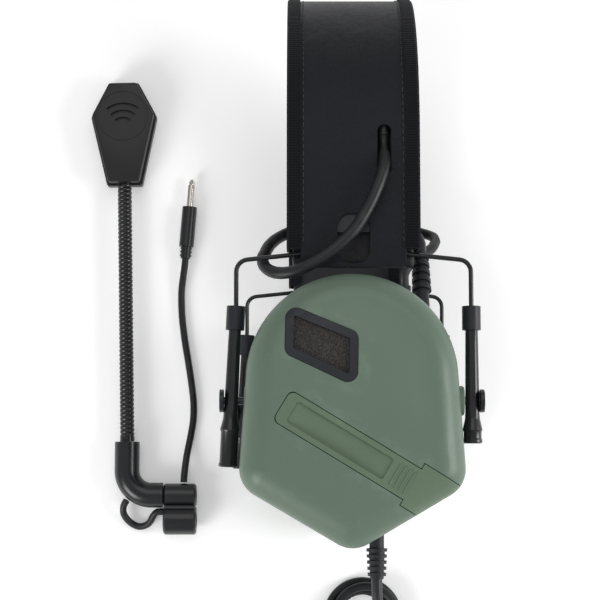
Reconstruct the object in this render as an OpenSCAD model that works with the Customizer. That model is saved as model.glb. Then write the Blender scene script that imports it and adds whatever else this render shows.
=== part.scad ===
// Electronic ear-defender radio headset, lying on the outer face of its right cup.
// +X points to the rear edge of the headband, +Y from the cups towards the crown,
// +Z from the right cup up to the left cup. The unplugged boom microphone lies beside it.

/* [Headset] */
// Distance between the pivot lines of the two cups
yoke_gap = 140; // [126:1:156]
// Height of the crown above the pivot line, outside
crown_y = 181; // [160:1:200]
// Distance of each slider tube from the middle of the band
slider_x = 47.3; // [46.8:0.1:52]
// Height of the wire bend above the pivot line
wire_bend_y = 57; // [55:0.5:62]
// Diameter of the spring wires
wire_d = 1.9; // [1.4:0.1:2.2]

/* [Cup] */
// Radius of the top arc of the cup's outline
cup_top_r = 42; // [38:0.5:46]
// Height of the outer face above the pivot line
cup_face = 22; // [20:0.5:26]
// Depth of the seam below the pivot line
cup_back = 12; // [10:0.5:14]
// Rounding of the outer edge
cup_edge_r = 11; // [8:0.5:11.5]
// Wall of the shell
cup_wall = 2.4; // [1.8:0.1:3]
// Thickness of the baffle plate
baffle_t = 2.5; // [2:0.1:3.5]
// Thickness of the ear cushion
cushion_t = 17; // [12:0.5:22]
// Radius of the pivot boss
boss_r = 6; // [4.5:0.1:7]

/* [Battery door] */
// Length of the narrow part of the door
door_len = 59; // [54:0.5:60]
// Width of the door
door_w = 13.5; // [12:0.1:15]
// Width of the grip end of the door
door_end_w = 18.4; // [16:0.1:20]
// Thickness of the door
door_t = 2; // [1.5:0.1:2.2]
// Diameter of one battery cell
cell_d = 10.5; // [9.5:0.1:10.6]
// Length of one battery cell
cell_len = 44.5; // [40:0.5:45]

/* [Slider] */
// Radius of the slider's barrel, where the boom clips on
barrel_r = 3.6; // [3.2:0.1:3.8]
// Length of the front slider below the pivot line
front_barrel_len = 26.5; // [20:0.5:30]
// Length of the rear slider below the pivot line
rear_barrel_len = 17; // [12:0.5:24]
// Radius of the pivot pin
pin_r = 1.5; // [1.2:0.1:1.8]
// Outward lean of the front slider, in degrees
front_lean = 2.6; // [1.8:0.1:3]

/* [Headband] */
// Half width of the leather cover
band_half = 26; // [24:0.5:28]
// Thickness of the leather
leather_t = 1.6; // [1.2:0.1:2]
// Thickness of the padded liner
liner_t = 8.5; // [6:0.5:10]
// Width of the edge binding
binding_w = 5.6; // [4:0.1:7]
// Diameter of the link cable
link_d = 5; // [4:0.1:5]

/* [Boom microphone] */
// Length of the gooseneck
goose_len = 132.5; // [100:0.5:150]
// Radius of the gooseneck
goose_r = 3.55; // [3:0.05:4]
// Half width of the microphone head
head_half = 15.4; // [13:0.1:17]
// Depth of the microphone head
head_t = 12.6; // [11:0.1:13]
// Radius of the elbow
elbow_r = 6.1; // [5:0.1:6.5]
// Length of the boom clip
clip_len = 16; // [12:0.5:20]
// Radius of the jack pin
jack_r = 1.75; // [1.25:0.25:1.75]

/* [Radio lead] */
// Diameter of the radio lead
lead_d = 4.3; // [3.8:0.1:4.5]
// Diameter of the microphone lead
mic_lead_d = 3.4; // [3:0.1:3.6]
// Radius of the radio plug's body
plug_r = 7; // [6:0.1:8]
// Radius of the radio plug's pin
plug_pin_r = 3.55; // [3:0.05:4]

/* [Clearances] */
// Radial clearance of pins that turn or slide
run_clear = 0.05; // [0.02:0.01:0.1]
// Radial clearance of the clip on the barrel
clip_clear = 0.1; // [0.05:0.05:0.3]
// Gap round loose panels and buttons
panel_clear = 0.2; // [0.1:0.05:0.4]
// Gap between soft parts and their neighbours
soft_gap = 0.3; // [0.2:0.1:0.5]

/* [Hidden] */

$fn = 48;
hull_fn = 32;
sage = "#7a8f80";
black = "#24262b";
leather = "#2e3138";
steel = "#8a8d92";

// Heights of the two pivot lines above the resting face
right_z = cup_face;
left_z = cup_face + yoke_gap;
mid_z = (left_z + right_z) / 2;

// Cup outline: circles as [x, y, radius]
cup_x = -1;
corner_r = 12;
corner_x = cup_top_r - 9.5;
corner_y = -27;
apex_y = -46;
cup_top_y = 8;
cup_bottom = apex_y - corner_r;
cup_rings = [
  [0, cup_top_y, cup_top_r], [corner_x, corner_y, corner_r],
  [-corner_x, corner_y, corner_r], [0, apex_y, corner_r]
];
// Slope of the two lower flanks
flank_angle = atan2(corner_y - apex_y, corner_x);
flank_x = corner_x / 2 + corner_r * sin(flank_angle);
flank_y = (corner_y + apex_y) / 2 - corner_r * cos(flank_angle);

// Layers of the band, measured from the arc's axis
band_axis_r = yoke_gap / 2;
cover_in = band_axis_r + wire_d / 2 + 0.35;
cover_out = cover_in + leather_t;
liner_out = band_axis_r - wire_d / 2 - 0.35;
liner_in = liner_out - liner_t;
binding_t = 1;
arc_y = crown_y - cover_out;
binding_end_y = 61;
cover_end_y = 53.6;
liner_end_y = 52.2;
tongue_half = band_half - 4.7;
slot_w = 13.2;
slot_low_y = 55.2;
slot_high_y = 75.5;
cable_x = 12.5;
cable_hole_y = [94, 109];
cable_arc_r = cover_in - link_d / 2 - 0.2;
channel_half = link_d / 2 + soft_gap;
plate_t = 1.2;
clamp_y = 68;
clamp_h = 10;
clamp_t = wire_d + 0.5;

// Spring wires
wire_bend_r = 5;
wire_slope = 6;
wire_in_x = 18.5;
strip_x = [-wire_in_x + 3, cable_x - channel_half - 1];
clamp_half = wire_in_x + 2.2;
wire_end_y = 6;

// Sliders
collar_top_y = 38;
collar_len = 9.6;
collar_r = 3.75;
tube_top_r = 2.5;
tube_low_r = 3;
flare_r = 4;
flare_y = -7.5;
flare_len = 4.2;
end_flange_len = 2;
end_flange_r = barrel_r + 0.2;
pin_hole_y = 4;
washer_r = 4.6;
washer_t = 1.6;
boss_end_x = slider_x - tube_low_r - 0.4;
boss_root_x = boss_end_x - 10;
pin_end_x = boss_end_x - 8;
lean_shift = collar_top_y * tan(front_lean);
pin_out_x = slider_x + tube_low_r + washer_t + 0.1;
seat_gap = 0.03;

// Window: centres of its rounded corners
window_corners = [[-23.2, 31.4], [-3, 22.9], [-3.2, 10.5], [-23.4, 20.1]];
window_r = 4;
window_lip = 3.2;
window_depth = 5;
ambient_x = -13;
ambient_y = 21;
ambient_r = 3;
ambient_len = 5;

// Battery door: its own frame starts at the middle of its short edge
door_start = [-28.6, -2.6];
door_angle = -31.2;
door_reach = 90;
door_low_z = 12;
rib_count = 4;
rib_pitch = 2.2;
box_wall = 1.2;
box_floor_z = -3;
box_start = 3;
box_gap = 0.05;
cell_step = cell_d + 0.2;
cell_low_z = box_floor_z + box_wall + 0.1 + cell_d / 2;

// Speaker, board, cushion hole
speaker_r = 20;
speaker_flange_t = 2;
magnet_r = 9;
magnet_top_z = -3;
ear_r = 17;
ear_y = 10;
ear_centre_y = -4;
board_size = [30, 22, 1.6];
board_at = [14, 21, 3];
pillar_r = 2;
pillar_half_pitch = 5;
pillar_y = 1;

// Reliefs and jack
relief_z = -4;
link_relief_at = [28, 45, -8];
link_relief_len = 18.5;
link_relief_dip = 23.5;
link_neck_len = 12;
lead_relief_x = 9;
lead_relief_y = -58.6;
lead_relief_len = 12;
lead_neck_len = 10;
neck_r = 3;
jack_socket_r = 4;
jack_socket_len = 16;
jack_bore_len = 14;

// Volume buttons on the right cup's rear flank
button_r = 3.5;
button_out = 1.2;
button_in = 5;
button_flange_r = 4.5;
button_half_pitch = 7;
button_travel = 1;

// Boom microphone, lying at the height of its clip
clip_low_r = 7.1;
clip_high_r = 5.7;
clip_pitch = 12.1;
boom_z = clip_low_r;
boom_arm_y = -39.2;
boom_leg_x = -106.4;
elbow_bend_r = 12;
elbow_leg_len = 14;
clip_x = -88.3;
spigot_r = 3.5;
spigot_hole_r = 2;
goose_y = boom_arm_y + elbow_bend_r + elbow_leg_len;
goose_lean = 1.2;
head_long = 50;
head_wide_y = 33.8;
head_top_half = head_half - 8.6;
head_low_half = head_half - 7.7;
head_draft = 1;
head_wall = 1.5;
head_grip = 4;
grille_y = 33;
grille_r = 12.4;
capsule_r = 4.8;
capsule_len = 4;

// Microphone plug
mic_plug_at = [-78.8, 78];
mic_plug_turn = -4.5;
mic_plug_neck = 6;
mic_plug_r = 3.65;
mic_plug_len = 20;
mic_plug_pin_len = 14;

// Radio plug
radio_plug_at = [-40, -182];
radio_boot_len = 14;
radio_body_len = 34;
radio_pin_len = 30;

// Hank
hank_x = 9;
hank_top_y = -79;
hank_run = 66;
hank_out_r = 19.4;
hank_h = 8.7;
hank_low_y = hank_top_y - hank_run - 2 * hank_out_r;
tie_y = hank_top_y - hank_out_r - hank_run / 2;
tie_t = 1;
tie_w = 6;

// Routes of the cords
left_low_route = [
  [28, 62, 146.6], [28, 66, 144.86], [26, 69.8, 143.6], [21, 72, 143.4], [14, 72.8, 143.8],
  [5, 73, 144.3], [-5, 73, 144.8], [-14, 72.6, 145.4], [-23, 71.2, 146.4], [-30, 68, 148.8],
  [-34.2, 64, 152.2], [-36, 60, 155.4]
];
left_high_route = [
  [-36, 60, 155.4], [-36.9, 58, 157], [-36, 54.6, 159.6], [-33.4, 52.2, 162.8], [-29, 51, 165.9],
  [-22, 52, 168.8], [-13, 56.5, 170], [-6, 62, 170.3], [0.5, 68.5, 170.2],
  [6, 77.5, 170], [9.8, 86, 169.4], [12.3, 94, 167.4], [12.5, 99, 163.6],
  [12.5, 104.5, 160.6], [12.5, 108.1, 160.6]
];
right_low_route = [
  [28, 62, 37.4], [28, 66, 39.14], [30.6, 70.3, 39.4], [35, 74, 36.2], [40, 78, 31]
];
right_high_route = [
  [40, 78, 31], [42.5, 80, 28.4], [44.4, 83.6, 23.6], [42.6, 87.2, 18.6], [37, 89.4, 15.6],
  [31, 90.2, 15], [25, 90.6, 15], [19, 91.8, 15], [14.8, 94.4, 15.4], [12.7, 98.2, 17],
  [12.5, 101.6, 20.4], [12.5, 105, 23.4], [12.5, 108.1, 23.4]
];
drop_route = [
  [9, -70.6, 158], [9, -74.6, 158], [9.4, -81, 157.2], [11.2, -90, 153.6], [14.8, -98.6, 146.8],
  [19.5, -107, 136], [24.5, -113.5, 121], [28.5, -117.5, 104], [31.5, -120, 86], [34, -122, 68],
  [35.5, -124, 50], [36.5, -126, 33], [37, -130, 18], [37.2, -137, 7], [37.3, -145, 2.4],
  [37.3, -150, 2.2]
];
run_route = [
  [37.3, -150, 2.2], [37.3, -156, 2.2], [37, -165, 2.2], [35.5, -175, 2.2], [32, -184.5, 2.2],
  [25.5, -192.5, 2.2], [17, -196, 2.2], [8, -195, 2.2], [0, -190.6, 2.2], [-4.4, -184.4, 2.2],
  [-6.2, -179.6, 2.2]
];
plug_route = [
  [3, -185.4, 6.5], [-3, -185.6, 6.6], [-9, -188.6, 6.4], [-14.6, -193, 5.2], [-20, -197.5, 3.6],
  [-26, -200.4, 2.6], [-32, -200.2, 3.2], [-37, -196.6, 5.2], [-39.6, -191.4, 6.8], [-40, -187, 7],
  [-40, -182, 7]
];
loop_route = [
  [-106.5, -41.8, 7.1], [-108, -44.5, 6.2], [-108, -48.5, 4.2], [-105, -52.5, 2.4],
  [-100.5, -54.6, 1.8], [-95.8, -53, 3.4], [-93.4, -49.2, 6], [-91.4, -47.3, 7.1], [-88.35, -47.3, 7.1]
];
mic_lead_route = [
  [-78.5, -32.9, 7.1], [-78.3, -29, 6.9], [-77.4, -20, 3.8], [-75.6, -10, 1.8], [-74.4, -2, 1.7],
  [-74.3, 6, 1.7], [-75.3, 15, 1.7], [-77, 26, 1.7], [-79, 38, 1.7], [-80.4, 50, 1.7],
  [-80.7, 61, 1.9], [-79.8, 69, 3.2], [-79.12, 74, 3.65], [-78.8, 78, 3.65]
];
cord_gap = 0.3;
low_sides = 8;
cord_sides = 10;

// The origin is at the middle of the resting footprint
lay_x = -(pin_out_x + boom_leg_x - goose_len * sin(goose_lean) - head_half - 1.6 * head_draft) / 2;
lay_y = -(crown_y + binding_t + boom_arm_y - clip_pitch - clip_low_r) / 2;

function unit(v) = v / norm(v);

module placed() translate([lay_x, lay_y, 0]) children();
module left_side() placed() translate([0, 0, left_z]) children();
module right_side() placed() translate([0, 0, right_z]) mirror([0, 0, 1]) children();
module along_y(at) translate(at) rotate([-90, 0, 0]) children();
module along_x(at) translate(at) rotate([0, 90, 0]) children();

// A round tube swept along a hand-chosen route, with flat ends square to the route
function tangent(p, i) =
  unit(p[min(i + 1, len(p) - 1)] - p[max(i - 1, 0)]);
function carried(v, t) = unit(v - t * (v * t));
function frames(p, i = 0, v = [0.31, 0.17, 0.93]) =
  i >= len(p) ? [] :
  let (t = tangent(p, i), n = carried(v, t))
  concat([[n, cross(t, n)]], frames(p, i + 1, n));
module swept(route, d, sides, trim = 0) {
  p = [for (i = [0:len(route) - 1]) i > 0 ? route[i] : route[0] + trim * tangent(route, 0)];
  f = frames(p);
  n = len(p);
  points = [for (i = [0:n - 1], k = [0:sides - 1])
    p[i] + d / 2 * (cos(360 * k / sides) * f[i][0] + sin(360 * k / sides) * f[i][1])];
  walls = [for (i = [0:n - 2], k = [0:sides - 1])
    let (a = i * sides + k, b = i * sides + (k + 1) % sides)
    [a, a + sides, b + sides, b]];
  ends = [[for (k = [0:sides - 1]) k], [for (k = [sides - 1:-1:0]) (n - 1) * sides + k]];
  polyhedron(points, concat(walls, ends), convexity = 6);
}

// The cup's solid dome, shrunk all round by inset, from z_low up to its outer face
edge_steps = 4;
function edge_in(k) = cup_edge_r * (1 - cos(90 * k / edge_steps));
function edge_z(k, inset) = cup_face - inset - cup_edge_r * (1 - sin(90 * k / edge_steps));
function ring_r(ring, k, inset) = max(ring[2] - inset - edge_in(k), 0.4);
module dome(inset, z_low) {
  hull()
    for (ring = cup_rings, k = [0:edge_steps]) {
      z0 = k == 0 ? z_low : edge_z(k - 1, inset);
      translate([ring[0] + cup_x, ring[1], z0])
        cylinder(r1 = ring_r(ring, max(k - 1, 0), inset), r2 = ring_r(ring, k, inset),
          h = edge_z(k, inset) - z0, $fn = hull_fn);
    }
}

// A flat plate in the cup's outline
module outline_plate(inset, z, t) {
  hull()
    for (ring = cup_rings)
      translate([ring[0] + cup_x, ring[1], z])
        cylinder(r = ring[2] - inset, h = t, $fn = hull_fn);
}

module window_prism(r, z, t) {
  hull()
    for (c = window_corners)
      translate([c[0], c[1], z]) cylinder(r = r, h = t, $fn = hull_fn);
}

// The door's outline, widened by gap
module door_prism(gap, z, t) {
  translate([door_start[0], door_start[1], z]) rotate([0, 0, door_angle]) {
    translate([-gap, -door_w / 2 - gap, 0]) cube([door_reach, door_w + 2 * gap, t]);
    translate([door_len - gap, -door_end_w / 2 - gap, 0])
      cube([door_reach - door_len, door_end_w + 2 * gap, t]);
  }
}

module shell(has_door) {
  difference() {
    union() {
      difference() {
        dome(0, -cup_back);
        dome(cup_wall, -cup_back - 1);
      }
      for (s = [-1, 1])
        along_x([s > 0 ? boss_root_x : -boss_end_x, 0, 0])
          cylinder(r = boss_r, h = boss_end_x - boss_root_x);
    }
    window_prism(window_r + panel_clear, cup_face - window_depth - 3, cup_face);
    for (s = [-1, 1])
      along_x([s > 0 ? boss_root_x - 1 : -boss_end_x - 1, 0, 0])
        cylinder(r = pin_r + run_clear, h = boss_end_x - boss_root_x + 2);
    link_relief_place() translate([0, 0, -link_neck_len - 1]) cylinder(r = neck_r, h = 20);
    if (has_door) {
      door_prism(panel_clear, door_low_z, cup_face);
      along_y([lead_relief_x, lead_relief_y - 1, relief_z]) cylinder(r = neck_r, h = 14);
      jack_place() cylinder(r = jack_socket_r + run_clear, h = 20, center = true);
    } else {
      for (s = [-1, 1])
        button_place(s) cylinder(r = button_r + panel_clear, h = 20, center = true);
    }
  }
}

module baffle() {
  difference() {
    outline_plate(0.6, -cup_back - baffle_t, baffle_t);
    translate([cup_x, ear_centre_y, -cup_back - baffle_t - 1])
      cylinder(r = speaker_r - 4, h = baffle_t + 2);
  }
}

module cushion() {
  z = -cup_back - baffle_t - soft_gap - cushion_t;
  difference() {
    outline_plate(4, z, cushion_t);
    for (s = [-1, 1])
      translate([cup_x, ear_centre_y + s * ear_y, z - 1]) cylinder(r = ear_r, h = cushion_t + 2);
    translate([cup_x - ear_r, ear_centre_y - ear_y, z - 1])
      cube([2 * ear_r, 2 * ear_y, cushion_t + 2]);
  }
}

module speaker() {
  translate([cup_x, ear_centre_y, -cup_back]) {
    difference() {
      cylinder(r = speaker_r, h = speaker_flange_t);
      translate([0, 0, -1]) cylinder(r = speaker_r - 3, h = 2);
    }
    cylinder(r1 = speaker_r - 3.5, r2 = magnet_r, h = 5);
    cylinder(r = magnet_r, h = magnet_top_z + cup_back);
  }
}

module window_frame() {
  difference() {
    intersection() {
      window_prism(window_r, 5, cup_face);
      dome(0, 0);
    }
    dome(window_depth, -1);
    difference() {
      window_prism(window_r - window_lip, 4, cup_face + 2);
      dome(window_depth - 1.3, -2);
    }
  }
}

module window_foam() {
  difference() {
    intersection() {
      window_prism(window_r - window_lip - soft_gap, 5, cup_face);
      dome(0.2, 0);
    }
    dome(window_depth - 1.3 - soft_gap, -1);
  }
}

module ambient_mic()
  translate([ambient_x, ambient_y, cup_face - window_depth - ambient_len])
    cylinder(r = ambient_r, h = ambient_len);

// Ribbed strain relief along +Z, with a neck below
module relief(len, base_r, tip_r, neck, bore_r) {
  ribs = 5;
  pitch = len / ribs;
  rotate_extrude()
    polygon(concat(
      [[bore_r, -neck], [neck_r - run_clear, -neck], [neck_r - run_clear, 0]],
      [for (i = [0:ribs - 1]) for (k = [0:3])
        let (
          y = pitch * (i + [0, 0.5, 0.5, 1][k]),
          r = base_r + (tip_r - base_r) * y / len
        ) [r - (k > 1 ? 0.9 : 0), y]],
      [[bore_r, len]]
    ));
}

module link_relief_place()
  translate(link_relief_at) rotate([-90 - link_relief_dip, 0, 0]) children();
module link_relief() link_relief_place() relief(link_relief_len, 4, 3.4, link_neck_len, 1);

module leaning(angle)
  translate([0, collar_top_y, 0]) rotate([0, 0, -angle]) translate([0, -collar_top_y, 0]) children();

module slider(below, angle) {
  difference() {
    leaning(angle) {
      along_y([0, flare_y, 0]) cylinder(r1 = tube_low_r, r2 = tube_top_r, h = collar_top_y - flare_y);
      along_y([0, flare_y - flare_len, 0]) cylinder(r1 = flare_r, r2 = tube_low_r, h = flare_len);
      along_y([0, -below, 0]) cylinder(r = barrel_r, h = below + flare_y - flare_len);
      along_y([0, -below, 0]) cylinder(r = end_flange_r, h = end_flange_len);
    }
    along_y([0, pin_hole_y, 0]) cylinder(r = wire_d / 2 + run_clear, h = collar_top_y);
    along_x([-12, 0, 0]) cylinder(r = pin_r, h = 24);
  }
}

module slider_at(side) translate([side * slider_x, 0, 0]) children();

module collars()
  for (s = [-1, 1])
    slider_at(s)
      leaning(s < 0 ? front_lean : 0) along_y([0, collar_top_y - collar_len, 0])
        difference() {
          cylinder(r = collar_r, h = collar_len);
          translate([0, 0, -1])
            cylinder(r1 = collar_seat_r(-1), r2 = collar_seat_r(collar_len + 1), h = collar_len + 2);
        }
// Radius of the tube where the collar sits
function collar_seat_r(h) =
  tube_low_r + seat_gap + (tube_top_r - tube_low_r)
  * (collar_top_y - collar_len + h - flare_y) / (collar_top_y - flare_y);

module pivot_pins()
  for (s = [-1, 1]) {
    out_x = pin_out_x + (s < 0 ? lean_shift : 0);
    mirror([s < 0 ? 1 : 0, 0, 0]) {
      along_x([pin_end_x, 0, 0]) cylinder(r = pin_r, h = out_x - pin_end_x);
      along_x([out_x - washer_t, 0, 0]) cylinder(r = washer_r, h = washer_t);
    }
  }

// A strip that runs up one leg, over the crown and down the other leg
module arch_strip(r_in, r_out, x0, x1, end_y) {
  translate([x0, 0, mid_z])
    rotate([90, 0, 90])
      linear_extrude(x1 - x0) {
        difference() {
          translate([arc_y, 0]) circle(r = r_out, $fn = 120);
          translate([arc_y, 0]) circle(r = r_in, $fn = 120);
          translate([arc_y - 2 * r_out, -2 * r_out]) square([2 * r_out, 4 * r_out]);
        }
        for (s = [0, 1])
          mirror([0, s])
            translate([end_y, r_in]) square([arc_y - end_y, r_out - r_in]);
      }
}

module leather_slots()
  for (s = [-1, 1])
    translate([0, 0, mid_z + s * band_axis_r]) {
      translate([0, slot_high_y - slot_w / 2, 0]) cylinder(r = slot_w / 2, h = 20, center = true);
      translate([-slot_w / 2, slot_low_y, -10]) cube([slot_w, slot_high_y - slot_low_y - slot_w / 2, 20]);
      for (y = cable_hole_y)
        translate([cable_x, y, 0]) cylinder(r = channel_half, h = 20, center = true);
      translate([cable_x - channel_half, cable_hole_y[0], -10])
        cube([2 * channel_half, cable_hole_y[1] - cable_hole_y[0], 20]);
    }

module headband_cover() placed() color(leather)
  difference() {
    union() {
      arch_strip(cover_in, cover_out, -band_half, band_half, binding_end_y);
      arch_strip(cover_in, cover_out, -tongue_half, tongue_half, cover_end_y);
    }
    leather_slots();
  }

module headband_liner() placed() color(leather)
  difference() {
    union() {
      arch_strip(liner_in, liner_out, -band_half, band_half, binding_end_y);
      arch_strip(liner_in, liner_out, -tongue_half, tongue_half, liner_end_y);
    }
    arch_strip(cable_arc_r - channel_half, liner_out + 1, cable_x - channel_half,
      cable_x + channel_half, cable_hole_y[0]);
  }

module headband_bindings() placed() color(black)
  for (s = [-1, 1])
    mirror([s < 0 ? 1 : 0, 0, 0])
      difference() {
        arch_strip(liner_in - binding_t, cover_out + binding_t,
          band_half - binding_w + binding_t, band_half + binding_t, binding_end_y + 0.2);
        arch_strip(liner_in - seat_gap, cover_out + seat_gap, band_half - binding_w,
          band_half + seat_gap, binding_end_y - 1);
      }

// One spring wire: slider leg, bend, sloping run, bend, band leg, and the same mirrored
wire_turn = 90 - wire_slope;
wire_sides = 12;
run_from = [
  slider_x - wire_bend_r + wire_bend_r * cos(wire_turn),
  wire_bend_y - wire_bend_r + wire_bend_r * sin(wire_turn)
];
run_to_x = wire_in_x + wire_bend_r - wire_bend_r * cos(wire_turn);
run_to_y = run_from[1] + (run_from[0] - run_to_x) * tan(wire_slope);
band_leg_y = run_to_y + wire_bend_r * sin(wire_turn);
wire_half = concat(
  [[slider_x, wire_end_y]],
  [for (k = [0:6]) let (a = wire_turn * k / 6)
    [slider_x - wire_bend_r + wire_bend_r * cos(a), wire_bend_y - wire_bend_r + wire_bend_r * sin(a)]],
  [for (k = [0:6]) let (a = wire_turn * (1 - k / 6))
    [wire_in_x + wire_bend_r - wire_bend_r * cos(a), band_leg_y - wire_bend_r * sin(a)]]
);
wire_arc_steps = 18;
wire_path = concat(
  [for (p = wire_half) [p[0], p[1], left_z]],
  [for (k = [0:wire_arc_steps]) let (a = 180 * k / wire_arc_steps)
    [wire_in_x, arc_y + band_axis_r * sin(a), mid_z + band_axis_r * cos(a)]],
  [for (i = [len(wire_half) - 1:-1:0]) [wire_half[i][0], wire_half[i][1], right_z]]
);
module spring_wire(side) placed() color(black)
  mirror([side < 0 ? 1 : 0, 0, 0]) swept(wire_path, wire_d, wire_sides);
module front_spring_wire() spring_wire(-1);
module rear_spring_wire() spring_wire(1);

module stiffener_strip() placed() color(steel)
  arch_strip(band_axis_r - plate_t / 2, band_axis_r + plate_t / 2, strip_x[0], strip_x[1], clamp_y + clamp_h);

module wire_clamps() placed() color(steel)
  for (z = [left_z, right_z])
    difference() {
      translate([-clamp_half, clamp_y, z - clamp_t / 2]) cube([2 * clamp_half, clamp_h, clamp_t]);
      for (s = [-1, 1])
        along_y([s * wire_in_x, clamp_y - 1, z]) cylinder(r = wire_d / 2, h = clamp_h + 2);
    }

module link_cable_in_band() placed() color(black) {
  translate([cable_x, arc_y, mid_z]) rotate([0, 90, 0])
    rotate_extrude(angle = 180) translate([cable_arc_r, 0]) circle(r = link_d / 2);
}

// Places on the shell
module jack_place()
  translate([cup_x - flank_x, flank_y, 0]) rotate([0, 0, -90 - flank_angle]) rotate([0, 90, 0])
    children();
module button_place(s)
  translate([cup_x + flank_x + s * button_half_pitch * cos(flank_angle),
    flank_y + s * button_half_pitch * sin(flank_angle), 0])
    rotate([0, 0, flank_angle - 90]) rotate([0, 90, 0]) children();

module left_shell() left_side() color(sage) shell(true);
module left_baffle() left_side() color(black) baffle();
module left_cushion() left_side() color(black) cushion();
module left_speaker() left_side() color(steel) speaker();
module left_circuit_board() left_side() color("#2f6b4a") {
  translate(board_at - [board_size[0] / 2, board_size[1] / 2, 0]) cube(board_size);
  for (s = [-1, 1])
    translate([board_at[0] + s * pillar_half_pitch, board_at[1] + pillar_y, board_at[2] + board_size[2]])
      cylinder(r = pillar_r, h = cup_face - cup_wall - board_at[2] - board_size[2]);
}
module left_window_frame() left_side() color(black) window_frame();
module left_window_foam() left_side() color("#3b3633") window_foam();
module left_ambient_mic() left_side() color(steel) ambient_mic();
module left_link_relief() left_side() color(black) link_relief();
module left_mic_jack() left_side() color(black)
  jack_place() translate([0, 0, -jack_socket_len])
    difference() {
      cylinder(r = jack_socket_r, h = jack_socket_len);
      translate([0, 0, jack_socket_len - jack_bore_len])
        cylinder(r = jack_r + run_clear, h = jack_bore_len + 1);
    }
module left_battery_box() left_side() color(black)
  difference() {
    intersection() {
      box_prism(door_w + 2 * box_wall, box_floor_z, cup_face, 0);
      dome(cup_wall + box_gap, box_floor_z - 1);
    }
    box_prism(cell_d + 0.4, box_floor_z + box_wall, cup_face, box_wall);
  }
module box_prism(w, z, t, end)
  translate([door_start[0], door_start[1], z]) rotate([0, 0, door_angle])
    translate([box_start + end, -w / 2, 0]) cube([cell_len + 4 - 2 * end, w, t]);
module battery_cells() left_side() color("#b9a24a")
  for (k = [0, 1])
    translate([door_start[0], door_start[1], cell_low_z + k * cell_step]) rotate([0, 0, door_angle])
      translate([box_start + 2, 0, 0]) rotate([0, 90, 0]) cylinder(r = cell_d / 2, h = cell_len);
module battery_door() left_side() color(sage)
  difference() {
    union() {
      difference() {
        intersection() {
          door_prism(0, door_low_z + panel_clear, cup_face);
          dome(0, 0);
        }
        dome(door_t, -1);
      }
      translate([door_start[0], door_start[1], cup_face - 0.5]) rotate([0, 0, door_angle])
        for (k = [0:rib_count - 1])
          translate([door_len - 1 - k * rib_pitch, -5, 0]) cube([0.9, 10, 1]);
    }
    translate([door_start[0], door_start[1], cup_face - 0.5]) rotate([0, 0, door_angle])
      translate([4, -4.6, 0]) cube([door_len - 14, 9.2, 2]);
  }

module left_front_slider() left_side() color(black) slider_at(-1) slider(front_barrel_len, front_lean);
module left_rear_slider() left_side() color(black) slider_at(1) slider(rear_barrel_len, 0);
module left_slider_collars() left_side() color(black) collars();
module left_pivot_pins() left_side() color(black) pivot_pins();
module left_link_cable_low() placed() color(black) swept(left_low_route, link_d, cord_sides);
module left_link_cable_high() placed() color(black) swept(left_high_route, link_d, cord_sides, cord_gap);

module right_shell() right_side() color(sage) shell(false);
module right_baffle() right_side() color(black) baffle();
module right_cushion() right_side() color(black) cushion();
module right_speaker() right_side() color(steel) speaker();
module right_window_frame() right_side() color(black) window_frame();
module right_window_foam() right_side() color("#3b3633") window_foam();
module right_ambient_mic() right_side() color(steel) ambient_mic();
module right_link_relief() right_side() color(black) link_relief();
module volume_button(s) right_side() color(black)
  button_place(s) {
    translate([0, 0, -button_in]) cylinder(r = button_r, h = button_in + button_out);
    translate([0, 0, -button_in]) cylinder(r = button_flange_r, h = 1.2);
  }
module volume_up_button() volume_button(1);
module volume_down_button() volume_button(-1);
module right_front_slider() right_side() color(black) slider_at(-1) slider(front_barrel_len, front_lean);
module right_rear_slider() right_side() color(black) slider_at(1) slider(rear_barrel_len, 0);
module right_slider_collars() right_side() color(black) collars();
module right_pivot_pins() right_side() color(black) pivot_pins();
module right_link_cable_low() placed() color(black) swept(right_low_route, link_d, cord_sides);
module right_link_cable_high() placed() color(black) swept(right_high_route, link_d, cord_sides, cord_gap);

module radio_lead_relief() left_side() color(black)
  translate([lead_relief_x, lead_relief_y, relief_z]) rotate([90, 0, 0])
    relief(lead_relief_len, 4.2, 3.6, lead_neck_len, 1);
module radio_lead_drop() placed() color(black) swept(drop_route, lead_d, cord_sides);
module radio_lead_run() placed() color(black) {
  swept(run_route, lead_d, cord_sides, cord_gap);
  swept(plug_route, lead_d, cord_sides);
}
module hank_outline(r) {
  for (y = [hank_top_y - hank_out_r, hank_low_y + hank_out_r])
    translate([hank_x, y]) circle(r = r);
  translate([hank_x - r, hank_low_y + hank_out_r]) square([2 * r, hank_run]);
}
module radio_lead_hank() placed() color(black)
  linear_extrude(hank_h) hank_outline(hank_out_r);
module hank_tie() placed() color(black)
  translate([hank_x, tie_y, 0]) difference() {
    translate([-hank_out_r - tie_t, -tie_w / 2, 0])
      cube([2 * (hank_out_r + tie_t), tie_w, hank_h + tie_t]);
    translate([-hank_out_r, -tie_w, -1]) cube([2 * hank_out_r, 2 * tie_w, hank_h + 1]);
  }
module radio_plug_body() placed() color(black)
  along_y([radio_plug_at[0], radio_plug_at[1], plug_r]) {
    cylinder(r1 = lead_d / 2 + 0.8, r2 = plug_r - 1, h = radio_boot_len);
    translate([0, 0, radio_boot_len]) cylinder(r = plug_r, h = radio_body_len);
  }
module radio_plug_pin() placed() color(steel)
  along_y([radio_plug_at[0], radio_plug_at[1] + radio_boot_len + radio_body_len, plug_r]) {
    cylinder(r = plug_pin_r, h = radio_pin_len);
    translate([0, 0, radio_pin_len]) cylinder(r1 = plug_pin_r, r2 = 1.2, h = 4);
  }

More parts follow.
